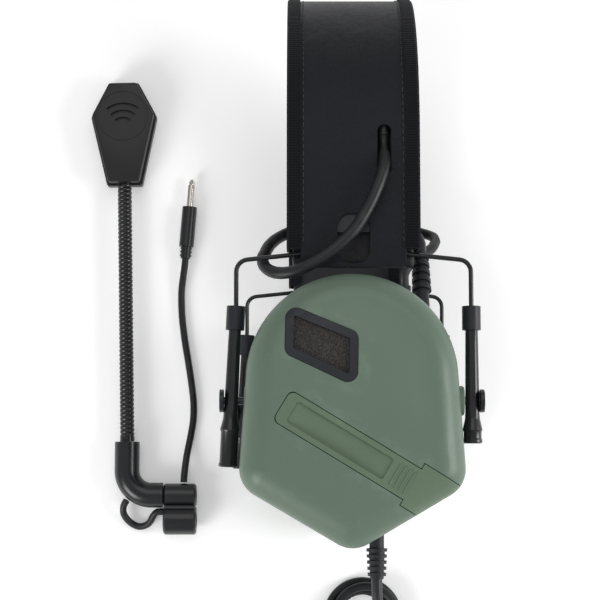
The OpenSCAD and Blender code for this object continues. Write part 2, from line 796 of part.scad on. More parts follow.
// Frame of the gooseneck: +Y along it, origin where it leaves the elbow
module boom_frame() placed()
  translate([boom_leg_x, goose_y, boom_z]) rotate([0, 0, goose_lean]) children();
module head_outline(grow) polygon([
  [-head_low_half - grow, -grow], [head_low_half + grow, -grow],
  [head_half + grow, head_wide_y], [head_top_half + grow * 0.7, head_long + grow],
  [-head_top_half - grow * 0.7, head_long + grow], [-head_half - grow, head_wide_y]
]);
module head_shell(z, t, floor_z, grow) translate([0, goose_len - head_grip, 0]) difference() {
  translate([0, 0, z]) linear_extrude(t) head_outline(grow);
  translate([0, 0, floor_z]) linear_extrude(t) head_outline(grow - head_wall);
  along_y([0, -5, 0]) cylinder(r = goose_r + run_clear, h = 10);
}
module mic_front() boom_frame() color(black) difference() {
  head_shell(0, head_t / 2, -head_wall, 0);
  translate([0, goose_len - head_grip + grille_y - 8, 0])
    for (slot = [[8.2, 24], [11.6, 30], [15, 34]])
      rotate([0, 0, 90 - slot[1]]) rotate_extrude(angle = 2 * slot[1])
        translate([slot[0], 0]) square([1.4, head_t]);
}
module mic_back() boom_frame() color(black)
  head_shell(-head_t / 2, head_t / 2, -head_t / 2 + head_wall, head_draft);
module mic_capsule() boom_frame() color(steel)
  translate([0, goose_len - head_grip + grille_y, head_t / 2 - head_wall - capsule_len])
    cylinder(r = capsule_r, h = capsule_len);
module gooseneck() boom_frame() color(black)
  along_y([0, seat_gap * 3, 0]) cylinder(r = goose_r, h = goose_len);
module boom_elbow() placed() color(black) {
  along_y([boom_leg_x, goose_y - elbow_leg_len, boom_z]) cylinder(r = elbow_r, h = elbow_leg_len);
  translate([boom_leg_x + elbow_bend_r, goose_y - elbow_leg_len, boom_z]) rotate([0, 0, 180])
    rotate_extrude(angle = 90) translate([elbow_bend_r, 0]) circle(r = elbow_r);
  arm_x = boom_leg_x + elbow_bend_r;
  along_x([arm_x, boom_arm_y, boom_z]) cylinder(r = elbow_r, h = clip_x - 0.3 - arm_x);
  difference() {
    along_x([arm_x, boom_arm_y, boom_z]) cylinder(r = spigot_r, h = clip_x + clip_len - arm_x);
    along_x([clip_x + clip_len - 8, boom_arm_y, boom_z]) cylinder(r = spigot_hole_r, h = 10);
  }
}
module boom_clip() placed() color(black) difference() {
  union() {
    along_x([clip_x, boom_arm_y, boom_z]) cylinder(r = clip_high_r, h = clip_len);
    along_x([clip_x, boom_arm_y - clip_pitch, boom_z]) cylinder(r = clip_low_r, h = clip_len);
    translate([clip_x, boom_arm_y - 7.8, boom_z - 4]) cube([clip_len, 3, 8]);
  }
  along_x([clip_x - 1, boom_arm_y, boom_z]) cylinder(r = spigot_r + run_clear, h = clip_len + 2);
  along_x([clip_x - 1, boom_arm_y - clip_pitch, boom_z])
    cylinder(r = barrel_r + clip_clear, h = clip_len + 2);
}
module boom_cable_loop() placed() color(black) swept(loop_route, mic_lead_d, low_sides);
module mic_lead() placed() color(black) swept(mic_lead_route, mic_lead_d, low_sides);
module mic_plug() placed()
  translate([mic_plug_at[0], mic_plug_at[1], mic_plug_r]) rotate([0, 0, mic_plug_turn])
    rotate([-90, 0, 0]) children();
module mic_plug_body() color(black) mic_plug() {
  cylinder(r = 2.4, h = mic_plug_neck);
  for (k = [0:2]) translate([0, 0, 1 + 1.8 * k]) cylinder(r = 2.9, h = 1);
  translate([0, 0, mic_plug_neck]) cylinder(r = mic_plug_r, h = mic_plug_len);
}
module mic_plug_pin() color(steel) mic_plug()
  translate([0, 0, mic_plug_neck + mic_plug_len]) {
    cylinder(r = jack_r, h = mic_plug_pin_len - 3);
    translate([0, 0, mic_plug_pin_len - 3]) cylinder(r1 = 1.2, r2 = jack_r - 0.2, h = 1.4);
    translate([0, 0, mic_plug_pin_len - 1.6]) cylinder(r1 = jack_r - 0.2, r2 = 0.6, h = 1.6);
  }

headband_cover();
headband_liner();
headband_bindings();
front_spring_wire();
rear_spring_wire();
stiffener_strip();
wire_clamps();
link_cable_in_band();
left_shell();
left_baffle();
left_cushion();
left_speaker();
left_circuit_board();
left_window_frame();
left_window_foam();
left_ambient_mic();
left_link_relief();
left_mic_jack();
left_battery_box();
battery_cells();
battery_door();
left_front_slider();
left_rear_slider();
left_slider_collars();
left_pivot_pins();
left_link_cable_low();
left_link_cable_high();
right_shell();
right_baffle();
right_cushion();
right_speaker();
right_window_frame();
right_window_foam();
right_ambient_mic();
right_link_relief();
volume_up_button();
volume_down_button();
right_front_slider();
right_rear_slider();
right_slider_collars();
right_pivot_pins();
right_link_cable_low();
right_link_cable_high();
radio_lead_relief();
radio_lead_drop();
radio_lead_run();
radio_lead_hank();
hank_tie();
radio_plug_body();
radio_plug_pin();
mic_front();
mic_back();
mic_capsule();
gooseneck();
boom_elbow();
boom_clip();
boom_cable_loop();
mic_lead();
mic_plug_body();
mic_plug_pin();
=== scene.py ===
"""Ear-defender radio headset: soft goods, mouldings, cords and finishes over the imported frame."""

import logging
import math
from dataclasses import dataclass, field
from enum import Enum
from typing import Iterable, Sequence, Union

import bmesh
import bpy
import numpy as np
from mathutils import Matrix, Vector


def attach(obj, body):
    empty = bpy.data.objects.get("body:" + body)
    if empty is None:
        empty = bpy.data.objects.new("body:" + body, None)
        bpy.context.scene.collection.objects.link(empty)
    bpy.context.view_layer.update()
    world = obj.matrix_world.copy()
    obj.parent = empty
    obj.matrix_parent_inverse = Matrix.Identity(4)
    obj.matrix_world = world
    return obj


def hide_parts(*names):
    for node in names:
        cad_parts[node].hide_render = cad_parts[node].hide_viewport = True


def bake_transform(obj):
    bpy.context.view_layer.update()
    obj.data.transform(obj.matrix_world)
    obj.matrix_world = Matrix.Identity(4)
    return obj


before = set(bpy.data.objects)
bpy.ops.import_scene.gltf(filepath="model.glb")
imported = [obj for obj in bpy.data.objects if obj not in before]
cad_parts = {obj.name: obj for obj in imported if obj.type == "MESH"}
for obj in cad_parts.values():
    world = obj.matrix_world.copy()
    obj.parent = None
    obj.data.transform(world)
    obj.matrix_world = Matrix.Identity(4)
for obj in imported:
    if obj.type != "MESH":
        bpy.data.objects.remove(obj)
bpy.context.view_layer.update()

LOG = logging.getLogger("headset")
MM = 0.001
FULL_TURN = 2 * math.pi
Flat = list[tuple[float, float]]
Point = tuple[float, float, float]
Route = list[Point]
Solid = bmesh.types.BMesh

# Where the drawing frame sits in the row frame, then the heights of the cups and the band's middle
LAY_X, LAY_Y = 37.0874, -61.8
LEFT_Z, RIGHT_Z, MID_Z = 162.0, 22.0, 92.0


# ---------------------------------------------------------------- shader maths


@dataclass
class Socket:
    """An output socket whose operators add Math nodes."""

    graph: "Graph"
    out: bpy.types.NodeSocket

    def _math(self, operation: str, other: "Value", swap: bool = False) -> "Socket":
        """Join this value and another with one Math node.

        Args:
            operation: the Math node's operation.
            other: the second value or socket.
            swap: put the other value first.
        Returns:
            The result's socket.
        """
        first, second = (other, self) if swap else (self, other)
        return self.graph.node("ShaderNodeMath", {"operation": operation}, {0: first, 1: second})

    def __add__(self, other: "Value") -> "Socket":
        """Add."""
        return self._math("ADD", other)

    def __radd__(self, other: "Value") -> "Socket":
        """Add, reflected."""
        return self._math("ADD", other, True)

    def __sub__(self, other: "Value") -> "Socket":
        """Subtract."""
        return self._math("SUBTRACT", other)

    def __rsub__(self, other: "Value") -> "Socket":
        """Subtract, reflected."""
        return self._math("SUBTRACT", other, True)

    def __mul__(self, other: "Value") -> "Socket":
        """Multiply."""
        return self._math("MULTIPLY", other)

    def wave(self) -> "Socket":
        """The sine of this value."""
        return self._math("SINE", 0.0)


Value = Union[Socket, float]
Layers = tuple[Socket, Value, Socket]


class Graph:
    """One material's node tree, built from expressions."""

    def __init__(self, name: str) -> None:
        """Start an empty material.

        Args:
            name: the material's name.
        """
        self.material = bpy.data.materials.new(name)
        self.material.use_nodes = True
        self.tree = self.material.node_tree
        self.tree.nodes.clear()

    def node(self, kind: str, settings: dict | None = None, inputs: dict | None = None,
             output: int | str = 0) -> Socket:
        """Add a node.

        Args:
            kind: the node's type.
            settings: its own settings, set first.
            inputs: values or links by socket name or index.
            output: which output to return.
        Returns:
            The chosen output.
        """
        made = self.tree.nodes.new(kind)
        for key, value in (settings or {}).items():
            setattr(made, key, value)
        for key, value in (inputs or {}).items():
            if isinstance(value, Socket):
                self.tree.links.new(value.out, made.inputs[key])
            else:
                made.inputs[key].default_value = value
        return Socket(self, made.outputs[output] if len(made.outputs) else None)

    def blend(self, amount: Value, low: Union[Socket, tuple],
              high: Union[Socket, tuple]) -> Socket:
        """Mix two colours.

        Args:
            amount: the share of the second colour.
            low: the first colour.
            high: the second colour.
        Returns:
            The mixed colour.
        """
        return self.node("ShaderNodeMix", {"data_type": "RGBA"}, {0: amount, 6: low, 7: high}, 2)

    def place(self) -> Socket:
        """Object coordinates."""
        return self.node("ShaderNodeTexCoord", output="Object")

    def noise(self, scale: float, detail: float = 3.0, rough: float = 0.5,
              vector: Socket | None = None) -> Socket:
        """A noise value from 0 to 1.

        Args:
            scale: cells per metre.
            detail: octaves.
            rough: how strong the finer octaves are.
            vector: the coordinates, Object ones if left out.
        Returns:
            The noise value.
        """
        inputs = {"Vector": vector or self.place(), "Scale": scale, "Detail": detail,
                  "Roughness": rough}
        return self.node("ShaderNodeTexNoise", None, inputs)

    def cells(self, scale: float, feature: str = "F1", vector: Socket | None = None) -> Socket:
        """Distance in a cell pattern.

        Args:
            scale: cells per metre.
            feature: the Voronoi feature.
            vector: the coordinates, Object ones if left out.
        Returns:
            The distance value.
        """
        inputs = {"Vector": vector or self.place(), "Scale": scale}
        return self.node("ShaderNodeTexVoronoi", {"feature": feature}, inputs)

    def ramp(self, value: Socket, low: float, high: float) -> Socket:
        """Spread the values from low to high over 0 to 1, clamped."""
        return self.node("ShaderNodeMapRange", {"clamp": True},
                         {0: value, 1: low, 2: high, 3: 0.0, 4: 1.0})

    def stretched(self, scale: Point) -> Socket:
        """Object coordinates stretched by a scale on each axis."""
        return self.node("ShaderNodeMapping", None, {"Vector": self.place(), "Scale": scale})

    def stripes(self, along: Socket, pitch: float) -> Socket:
        """Stripes from 0 to 1, a number of them per metre."""
        return (along * (FULL_TURN * pitch)).wave() * 0.5 + 0.5

    def bump(self, height: Socket, depth: float, strength: float = 1.0,
             under: Socket | None = None) -> Socket:
        """A bump from a height.

        Args:
            height: the height, 0 to 1.
            depth: its real depth in metres.
            strength: the bump's strength.
            under: a bump that this one lies on.
        Returns:
            The normal.
        """
        inputs: dict = {"Height": height, "Distance": depth, "Strength": strength}
        if under is not None:
            inputs["Normal"] = under
        return self.node("ShaderNodeBump", None, inputs)

    def finish(self, colour: Socket, rough: Value, normal: Socket | None, metallic: float,
               fixed: dict) -> bpy.types.Material:
        """Close the tree with the surface shader.

        Args:
            colour: the base colour.
            rough: the roughness.
            normal: the normal, if bumped.
            metallic: 0 or 1.
            fixed: numbers set on the shader's other sockets.
        Returns:
            The material.
        """
        inputs: dict = {"Base Color": colour, "Roughness": rough, "Metallic": metallic, **fixed}
        if normal is not None:
            inputs["Normal"] = normal
        shader = self.node("ShaderNodeBsdfPrincipled", None, inputs)
        self.node("ShaderNodeOutputMaterial", None, {"Surface": shader})
        return self.material


# ---------------------------------------------------------------- finishes


def linear(red: int, green: int, blue: int) -> tuple[float, float, float, float]:
    """Turn a display colour of 0 to 255 a channel into the renderer's linear colour."""
    def channel(value: float) -> float:
        """One channel."""
        share = value / 255
        return share / 12.92 if share <= 0.04045 else ((share + 0.055) / 1.055) ** 2.4
    return channel(red), channel(green), channel(blue), 1.0


def toned(colour: tuple, gain: float) -> tuple:
    """A colour made lighter or darker."""
    return tuple(min(1.0, c * gain) for c in colour[:3]) + (1.0,)


class Grain(Enum):
    """How a surface is worked."""

    MOULDED = "moulded"
    GLOSS = "gloss"
    HIDE = "hide"
    RIBBED = "ribbed"
    FOAM = "foam"
    RUBBER = "rubber"
    BRUSHED = "brushed"
    WOVEN = "woven"


@dataclass(frozen=True)
class Finish:
    """One surface finish: its colour, its roughness and how it is worked."""

    name: str
    slot: str
    colour: tuple
    grain: Grain
    rough: float
    spread: float = 0.12
    depth: float = 0.00004
    pitch: float = 900.0
    metallic: float = 0.0
    coat: float = 0.0
    sheen: float = 0.0
    specular: float = 0.4

    def build(self) -> bpy.types.Material:
        """Build the material for this finish."""
        g = Graph(self.name)
        cloud = g.noise(22.0, 4.0, 0.55)
        colour = g.blend(g.ramp(cloud, 0.3, 0.7), toned(self.colour, 1 - self.spread),
                         toned(self.colour, 1 + self.spread))
        edge = g.ramp(g.node("ShaderNodeNewGeometry", output="Pointiness"), 0.515, 0.6)
        scuff = edge * g.ramp(g.noise(160.0, 3.0), 0.45, 0.75)
        work = {Grain.MOULDED: self._moulded, Grain.GLOSS: self._gloss, Grain.HIDE: self._hide,
                Grain.RIBBED: self._ribbed, Grain.FOAM: self._foam, Grain.RUBBER: self._rubber,
                Grain.BRUSHED: self._brushed, Grain.WOVEN: self._woven}[self.grain]
        colour, rough, normal = work(g, colour, cloud)
        colour = g.blend(scuff * 0.25, colour, toned(self.colour, 1.9))
        fixed = {"Coat Weight": self.coat, "Coat Roughness": 0.2, "Sheen Weight": self.sheen,
                 "Specular IOR Level": self.specular}
        return g.finish(colour, rough + scuff * 0.08, normal, self.metallic, fixed)

    def _moulded(self, g: Graph, colour: Socket, cloud: Socket) -> Layers:
        """Satin moulded plastic with a fine spark texture and faint handling marks."""
        spark = g.noise(self.pitch, 2.0, 0.6)
        speck = g.cells(self.pitch * 1.3)
        colour = g.blend(g.ramp(spark, 0.35, 0.75) * 0.22, colour, toned(self.colour, 1.25))
        rub = g.ramp(g.noise(55.0, 5.0, 0.65), 0.55, 0.85)
        normal = g.bump(spark * 0.6 + speck * 0.4, self.depth, 0.55)
        return colour, self.rough + (cloud - 0.5) * 0.12 - rub * 0.07, normal

    def _gloss(self, g: Graph, colour: Socket, cloud: Socket) -> Layers:
        """Smooth semi-gloss plastic with dust and hairline scratches."""
        hair = g.ramp(g.noise(1.0, 2.0, 0.5, g.stretched((90.0, 1400.0, 90.0))), 0.62, 0.72)
        dust = g.ramp(g.noise(2600.0, 1.0), 0.72, 0.8)
        colour = g.blend(dust * 0.12, colour, (0.25, 0.25, 0.25, 1.0))
        normal = g.bump(g.noise(240.0, 2.0), self.depth, 0.35)
        return colour, self.rough + (cloud - 0.5) * 0.14 + hair * 0.06, normal

    def _hide(self, g: Graph, colour: Socket, cloud: Socket) -> Layers:
        """Pebbled leather: raised cells, fine pores, soft creases, and painted shade darkening the
        valleys between the cells.
        """
        warp = g.noise(130.0, 2.0)
        moved = g.node("ShaderNodeVectorMath", {"operation": "ADD"},
                       {0: g.place(), 1: g.node("ShaderNodeVectorMath", {"operation": "SCALE"},
                                                {0: g.noise(300.0, 2.0), "Scale": 0.0012})})
        pebble = g.ramp(g.cells(self.pitch, "DISTANCE_TO_EDGE", moved), 0.0, 0.22)
        pore = g.noise(self.pitch * 3.2, 2.0)
        crease = g.ramp(g.noise(48.0, 3.0, 0.6), 0.4, 0.62)
        # Painted shade: darker in the valleys between the pebbles.
        colour = g.blend((1 - pebble) * 0.5, colour, toned(self.colour, 0.55))
        colour = g.blend(g.ramp(warp, 0.55, 0.8) * 0.25, colour, toned(self.colour, 1.5))
        low = g.bump(crease, self.depth * 5, 0.35)
        normal = g.bump(pebble * 0.75 + pore * 0.25, self.depth, 0.7, low)
        return colour, self.rough + (cloud - 0.5) * 0.16 + (1 - pebble) * 0.14, normal

    def _ribbed(self, g: Graph, colour: Socket, cloud: Socket) -> Layers:
        """Grosgrain tape: ribs across the tape, counted along it, with painted shade darkening the
        valleys between the ribs.
        """
        along = g.node("ShaderNodeAttribute", {"attribute_name": "along"}, output="Fac")
        across = g.node("ShaderNodeAttribute", {"attribute_name": "across"}, output="Fac")
        ribs = g.stripes(along, self.pitch)
        threads = g.stripes(across, self.pitch * 2.2)
        fuzz = g.noise(5200.0, 2.0)
        height = ribs * 0.72 + threads * ribs * 0.16 + fuzz * 0.12
        # Painted shade: darker in the valleys between the ribs.
        colour = g.blend((1 - ribs) * 0.75, colour, toned(self.colour, 0.35))
        colour = g.blend(fuzz * 0.2, colour, toned(self.colour, 2.0))
        rough = self.rough + (1 - ribs) * 0.1 + (cloud - 0.5) * 0.05
        return colour, rough, g.bump(height, self.depth, 0.9)

    def _foam(self, g: Graph, colour: Socket, cloud: Socket) -> Layers:
        """Open-cell foam: pores darkened with painted shade, between pale skins."""
        pores = g.ramp(g.cells(self.pitch), 0.18, 0.62)
        small = g.ramp(g.cells(self.pitch * 2.1), 0.2, 0.6)
        grit = g.noise(self.pitch * 2.4, 3.0, 0.7)
        open_share = pores * 0.6 + small * 0.4
        # Painted shade: darker in the pores.
        colour = g.blend(1 - open_share, colour, toned(self.colour, 0.12))
        colour = g.blend(g.ramp(grit, 0.6, 0.72) * 0.7, colour, toned(self.colour, 2.6))
        return colour, self.rough + cloud * 0.05, g.bump(open_share, self.depth, 1.0)

    def _rubber(self, g: Graph, colour: Socket, cloud: Socket) -> Layers:
        """Matt rubber with bloom and lint."""
        bloom = g.ramp(g.noise(70.0, 5.0, 0.7), 0.5, 0.8)
        lint = g.ramp(g.noise(1900.0, 2.0), 0.68, 0.78)
        colour = g.blend(bloom * 0.14 + lint * 0.1, colour, (0.16, 0.16, 0.17, 1.0))
        rough = self.rough + bloom * 0.1 + (cloud - 0.5) * 0.08
        return colour, rough, g.bump(g.noise(self.pitch, 3.0), self.depth, 0.5)

    def _brushed(self, g: Graph, colour: Socket, cloud: Socket) -> Layers:
        """Metal with fine lines along it."""
        lines = g.noise(1.0, 3.0, 0.6, g.stretched((2400.0, 60.0, 2400.0)))
        colour = g.blend(lines * 0.3, colour, toned(self.colour, 0.7))
        return colour, self.rough + (lines - 0.5) * 0.16, g.bump(lines, self.depth, 0.3)

    def _woven(self, g: Graph, colour: Socket, cloud: Socket) -> Layers:
        """Plain weave from two crossed waves, with painted shade darkening the gaps between the
        threads.
        """
        ways = (g.node("ShaderNodeSeparateXYZ", None, {0: g.place()}, axis) for axis in (0, 1))
        warp, weft = (g.stripes(way, self.pitch) for way in ways)
        weave = warp * weft
        # Painted shade: darker in the gaps between the threads.
        colour = g.blend((1 - weave) * 0.6, colour, toned(self.colour, 0.45))
        return colour, self.rough + (1 - weave) * 0.05, g.bump(weave, self.depth, 0.8)


SAGE = Finish("sage_moulding", "sage_shell", linear(91, 109, 94), Grain.MOULDED, 0.42, 0.035,
              0.00003, 1500.0)
DOOR_SAGE = Finish("door_moulding", "sage_shell", linear(90, 108, 88), Grain.MOULDED, 0.44,
                   0.04, 0.00003, 1500.0)
SATIN_BLACK = Finish("satin_black_moulding", "black_plastic", linear(24, 27, 34), Grain.MOULDED,
                     0.42, 0.1, 0.00003, 1300.0)
GLOSS_BLACK = Finish("gloss_black_moulding", "gloss_black", linear(20, 21, 24), Grain.GLOSS, 0.3,
                     0.12, 0.00002, 900.0, coat=0.15)
MIC_BLACK = Finish("microphone_black", "black_plastic", linear(20, 20, 22), Grain.MOULDED, 0.4,
                   0.1, 0.000025, 1600.0)
COVER_HIDE = Finish("cover_leather", "cover_leather", linear(17, 19, 26), Grain.HIDE, 0.42, 0.1,
                    0.00011, 1250.0, specular=0.22)
LINER_HIDE = Finish("liner_leather", "liner_leather", linear(24, 25, 30), Grain.HIDE, 0.52, 0.1,
                    0.00007, 1100.0)
CUSHION_HIDE = Finish("cushion_leather", "cushion_leather", linear(21, 22, 25), Grain.HIDE, 0.46,
                      0.1, 0.00005, 1500.0)
TAPE = Finish("grosgrain_tape", "webbing", linear(15, 16, 21), Grain.RIBBED, 0.75, 0.1, 0.0004,
              900.0, sheen=0.04, specular=0.15)
THREAD = Finish("stitching_thread", "webbing", linear(40, 43, 50), Grain.RUBBER, 0.6, 0.1,
                0.00005, 3000.0)
WIND_FOAM = Finish("window_foam", "window_foam", linear(62, 58, 57), Grain.FOAM, 0.92, 0.1,
                   0.0004, 1500.0)
LINING = Finish("ear_lining", "window_foam", linear(40, 40, 42), Grain.WOVEN, 0.9, 0.1, 0.0002,
                900.0)
WIRE = Finish("coated_wire", "coated_wire", linear(18, 19, 22), Grain.GLOSS, 0.32, 0.1, 0.00001,
              900.0, coat=0.1)
BLACK_METAL = Finish("black_metal", "black_metal", linear(24, 26, 29), Grain.BRUSHED, 0.36, 0.1,
                     0.00001)
# Painted shade: the steel is made dark so that the band's slot reads as shaded.
STEEL = Finish("shade_darkened_spring_steel", "spring_steel", linear(30, 32, 36), Grain.BRUSHED, 0.38,
               0.08, 0.00001)
CAPSULE = Finish("satin_aluminium", "speaker_metal", linear(172, 174, 178), Grain.BRUSHED, 0.38,
                 0.08, 0.00001, 900.0, 1.0)
CABLE = Finish("cable_jacket", "cable_jacket", linear(20, 21, 24), Grain.RUBBER, 0.42, 0.12,
               0.00003, 1400.0)
RUBBER = Finish("soft_rubber", "soft_rubber", linear(22, 23, 27), Grain.RUBBER, 0.55, 0.12,
                0.00005, 1800.0)
BOARD = Finish("board_mask", "board", linear(38, 104, 66), Grain.GLOSS, 0.35, 0.12, 0.00003,
               900.0, coat=0.3)
CELL = Finish("cell_wrap", "cell_wrap", linear(180, 150, 60), Grain.GLOSS, 0.3, 0.1, 0.00002,
              900.0, coat=0.3)
PLATED = Finish("plated_pin", "plated_pin", linear(206, 202, 196), Grain.BRUSHED, 0.18, 0.05,
                0.000005, 900.0, 1.0)

_built: dict[str, bpy.types.Material] = {}


def material(finish: Finish) -> bpy.types.Material:
    """The material of a finish, built once."""
    if finish.name not in _built:
        _built[finish.name] = finish.build()
    return _built[finish.name]


# ---------------------------------------------------------------- mesh helpers


def linked(name: str, data: bpy.types.ID) -> bpy.types.Object:
    """A new object in the scene."""
    made = bpy.data.objects.new(name, data)
    bpy.context.scene.collection.objects.link(made)
    return made


def meshed(name: str, bm: Solid) -> bpy.types.Mesh:
    """A new mesh from a builder, which is used up."""
    mesh = bpy.data.meshes.new(name)
    bm.to_mesh(mesh)
    bm.free()
    return mesh


def evaluated(made: bpy.types.Object) -> bpy.types.Object:
    """An object as its modifiers leave it."""
    return made.evaluated_get(bpy.context.evaluated_depsgraph_get())


def raised(bm: Solid, t: float) -> Solid:
    """Extrude a flat mesh upwards."""
    grown = bmesh.ops.extrude_face_region(bm, geom=bm.faces[:])["geom"]
    top = [v for v in grown if isinstance(v, bmesh.types.BMVert)]
    bmesh.ops.translate(bm, verts=top, vec=(0, 0, t))
    return bm


def outward(bm: Solid) -> Solid:
    """Turn every face outward."""
    bmesh.ops.recalc_face_normals(bm, faces=bm.faces)
    return bm


def rounded(bm: Solid, edges: Sequence, radius: float, segments: int = 6) -> None:
    """Round some edges off."""
    bmesh.ops.bevel(bm, geom=edges, offset=radius, segments=segments, profile=0.5,
                    affect="EDGES", material=-1)


def upright(bm: Solid, rise: float) -> list:
    """The edges that rise by more than a given height."""
    return [e for e in bm.edges if abs(e.verts[0].co.z - e.verts[1].co.z) > rise]


def oblong(left: float, right: float, low: float, high: float) -> Flat:
    """The four corners of a rectangle."""
    return [(left, low), (right, low), (right, high), (left, high)]


def sliced(bm: Solid, axis: int, spots: Iterable[float]) -> Solid:
    """Cut a mesh through along planes across one axis, so that it can be shaped."""
    normal = [float(k == axis) for k in range(3)]
    for spot in spots:
        bmesh.ops.bisect_plane(bm, geom=bm.verts[:] + bm.edges[:] + bm.faces[:], dist=0.0002,
                               plane_co=[n * spot for n in normal], plane_no=normal)
    return bm


def gridded(bm: Solid, step: float, reach: float) -> Solid:
    """Cut a mesh along both families of upright planes, out to a reach from the middle."""
    count = int(reach / step)
    for axis in (0, 1):
        sliced(bm, axis, (k * step + 0.013 for k in range(-count, count + 1)))
    return bm


def hulled(circles: Sequence[Point], grow: float, z: float, count: int,
           middle: float = 0.0) -> Solid:
    """A flat face with the outline that a string round some circles takes.

    Args:
        circles: x, y and radius of each.
        grow: how far outside that outline.
        z: the face's height.
        count: points round it.
        middle: how far the whole is moved along x.
    Returns:
        The face.
    """
    bm = bmesh.new()
    bmesh.ops.create_circle(bm, cap_ends=True, radius=1, segments=count)
    for vert in bm.verts:
        way = Vector((vert.co.x, vert.co.y)).normalized()
        x, y, r = max(circles, key=lambda c: c[0] * way.x + c[1] * way.y + c[2])
        vert.co = (x + middle + way.x * (r + grow), y + way.y * (r + grow), z)
    return bm


def prism(outline: Flat, z: float, t: float, corner: float = 0.0) -> Solid:
    """Extrude a flat outline, with its upright edges rounded.

    Args:
        outline: corners in order, in millimetres.
        z: height of the lower face.
        t: thickness.
        corner: radius of the upright edges.
    Returns:
        The closed solid.
    """
    bm = bmesh.new()
    bm.faces.new([bm.verts.new((x, y, z)) for x, y in outline])
    raised(bm, t)
    if corner > 0:
        rounded(bm, upright(bm, t / 2), corner)
    return outward(bm)


def lathe(profile: Flat, steps: int = 40) -> Solid:
    """Spin a profile about +Z.

    Args:
        profile: (radius, height) pairs in millimetres, from one end to the other.
        steps: steps of the turn.
    Returns:
        The turned mesh, closed where the profile starts and ends on the axis.
    """
    bm = bmesh.new()
    verts = [bm.verts.new((r, 0, z)) for r, z in profile]
    edges = [bm.edges.new(pair) for pair in zip(verts, verts[1:])]
    bmesh.ops.spin(bm, geom=verts + edges, cent=(0, 0, 0), axis=(0, 0, 1), angle=FULL_TURN,
                   steps=steps, use_merge=True, use_duplicate=False)
    bmesh.ops.remove_doubles(bm, verts=bm.verts, dist=0.0005)
    return outward(bm)


def moved(bm: Solid, matrix: Matrix) -> Solid:
    """Apply a matrix, keeping faces outward when it mirrors."""
    bmesh.ops.transform(bm, matrix=matrix, verts=bm.verts)
    if matrix.determinant() < 0:
        bmesh.ops.reverse_faces(bm, faces=bm.faces)
    return bm


def joined(*parts: Solid) -> Solid:
    """Put several meshes in one."""
    whole = bmesh.new()
    for part in parts:
        holder = meshed("part", part)
        whole.from_mesh(holder)
        bpy.data.meshes.remove(holder)
    return whole


def carved(bm: Solid, tool: Solid, how: str = "DIFFERENCE") -> Solid:
    """Cut a solid with another, or keep what they share.

    Args:
        bm: the solid.
        tool: the other solid; both are used up.
        how: DIFFERENCE or INTERSECT.
    Returns:
        The result.
    """
    pair = [linked("carve", meshed("carve", source)) for source in (bm, tool)]
    step = pair[0].modifiers.new("carve", "BOOLEAN")
    step.operation, step.object, step.solver = how, pair[1], "EXACT"
    result = bmesh.new()
    result.from_object(pair[0], bpy.context.evaluated_depsgraph_get())
    for made in pair:
        mesh = made.data
        bpy.data.objects.remove(made)
        bpy.data.meshes.remove(mesh)
    return result


@dataclass
class Piece:
    """One finished piece: its mesh in millimetres, the body that it rides on, its finish."""

    name: str
    bm: Solid
    body: str
    finish: Finish
    stands_for: Sequence[str] = ()
    sharp: float = 38.0
    bevel: float = 0.0
    subdivide: int = 0

    def make(self) -> bpy.types.Object:
        """Write the mesh in metres in the row frame, dress it and let it ride.

        Returns:
            The object.
        """
        bmesh.ops.scale(self.bm, vec=(MM, MM, MM), verts=self.bm.verts)
        mesh = meshed(self.name, self.bm)
        mesh.shade_smooth()
        mesh.set_sharp_from_angle(angle=math.radians(self.sharp))
        piece = linked(self.name, mesh)
        if self.bevel:
            step = piece.modifiers.new("edges", "BEVEL")
            step.width, step.segments, step.limit_method = self.bevel * MM, 2, "ANGLE"
            step.angle_limit = math.radians(self.sharp)
            step.harden_normals = False
        if self.subdivide:
            step = piece.modifiers.new("smooth", "SUBSURF")
            step.levels = step.render_levels = self.subdivide
        dress(piece, self.finish)
        if self.stands_for:
            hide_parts(*self.stands_for)
        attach(piece, self.body)
        LOG.info("%s: %d faces, rides on %s", self.name, len(mesh.polygons), self.body)
        return piece


def dress(piece: bpy.types.Object, finish: Finish) -> None:
    """Give an object one finish."""
    piece.data.materials.clear()
    piece.data.materials.append(material(finish))


def at(x: float, y: float, z: float) -> Matrix:
    """The move from the drawing frame to the row frame."""
    return Matrix.Translation((x + LAY_X, y + LAY_Y, z))


def spot(point: Point) -> Vector:
    """A point of the drawing frame, in metres in the row frame."""
    return at(*point).translation * MM


def turned(degrees: float, axis: str) -> Matrix:
    """A turn about one axis."""
    return Matrix.Rotation(math.radians(degrees), 4, axis)


# ---------------------------------------------------------------- cords


class Lay(Enum):
    """How a cord lies."""

    LOOSE = "loose"
    COILED = "coiled"


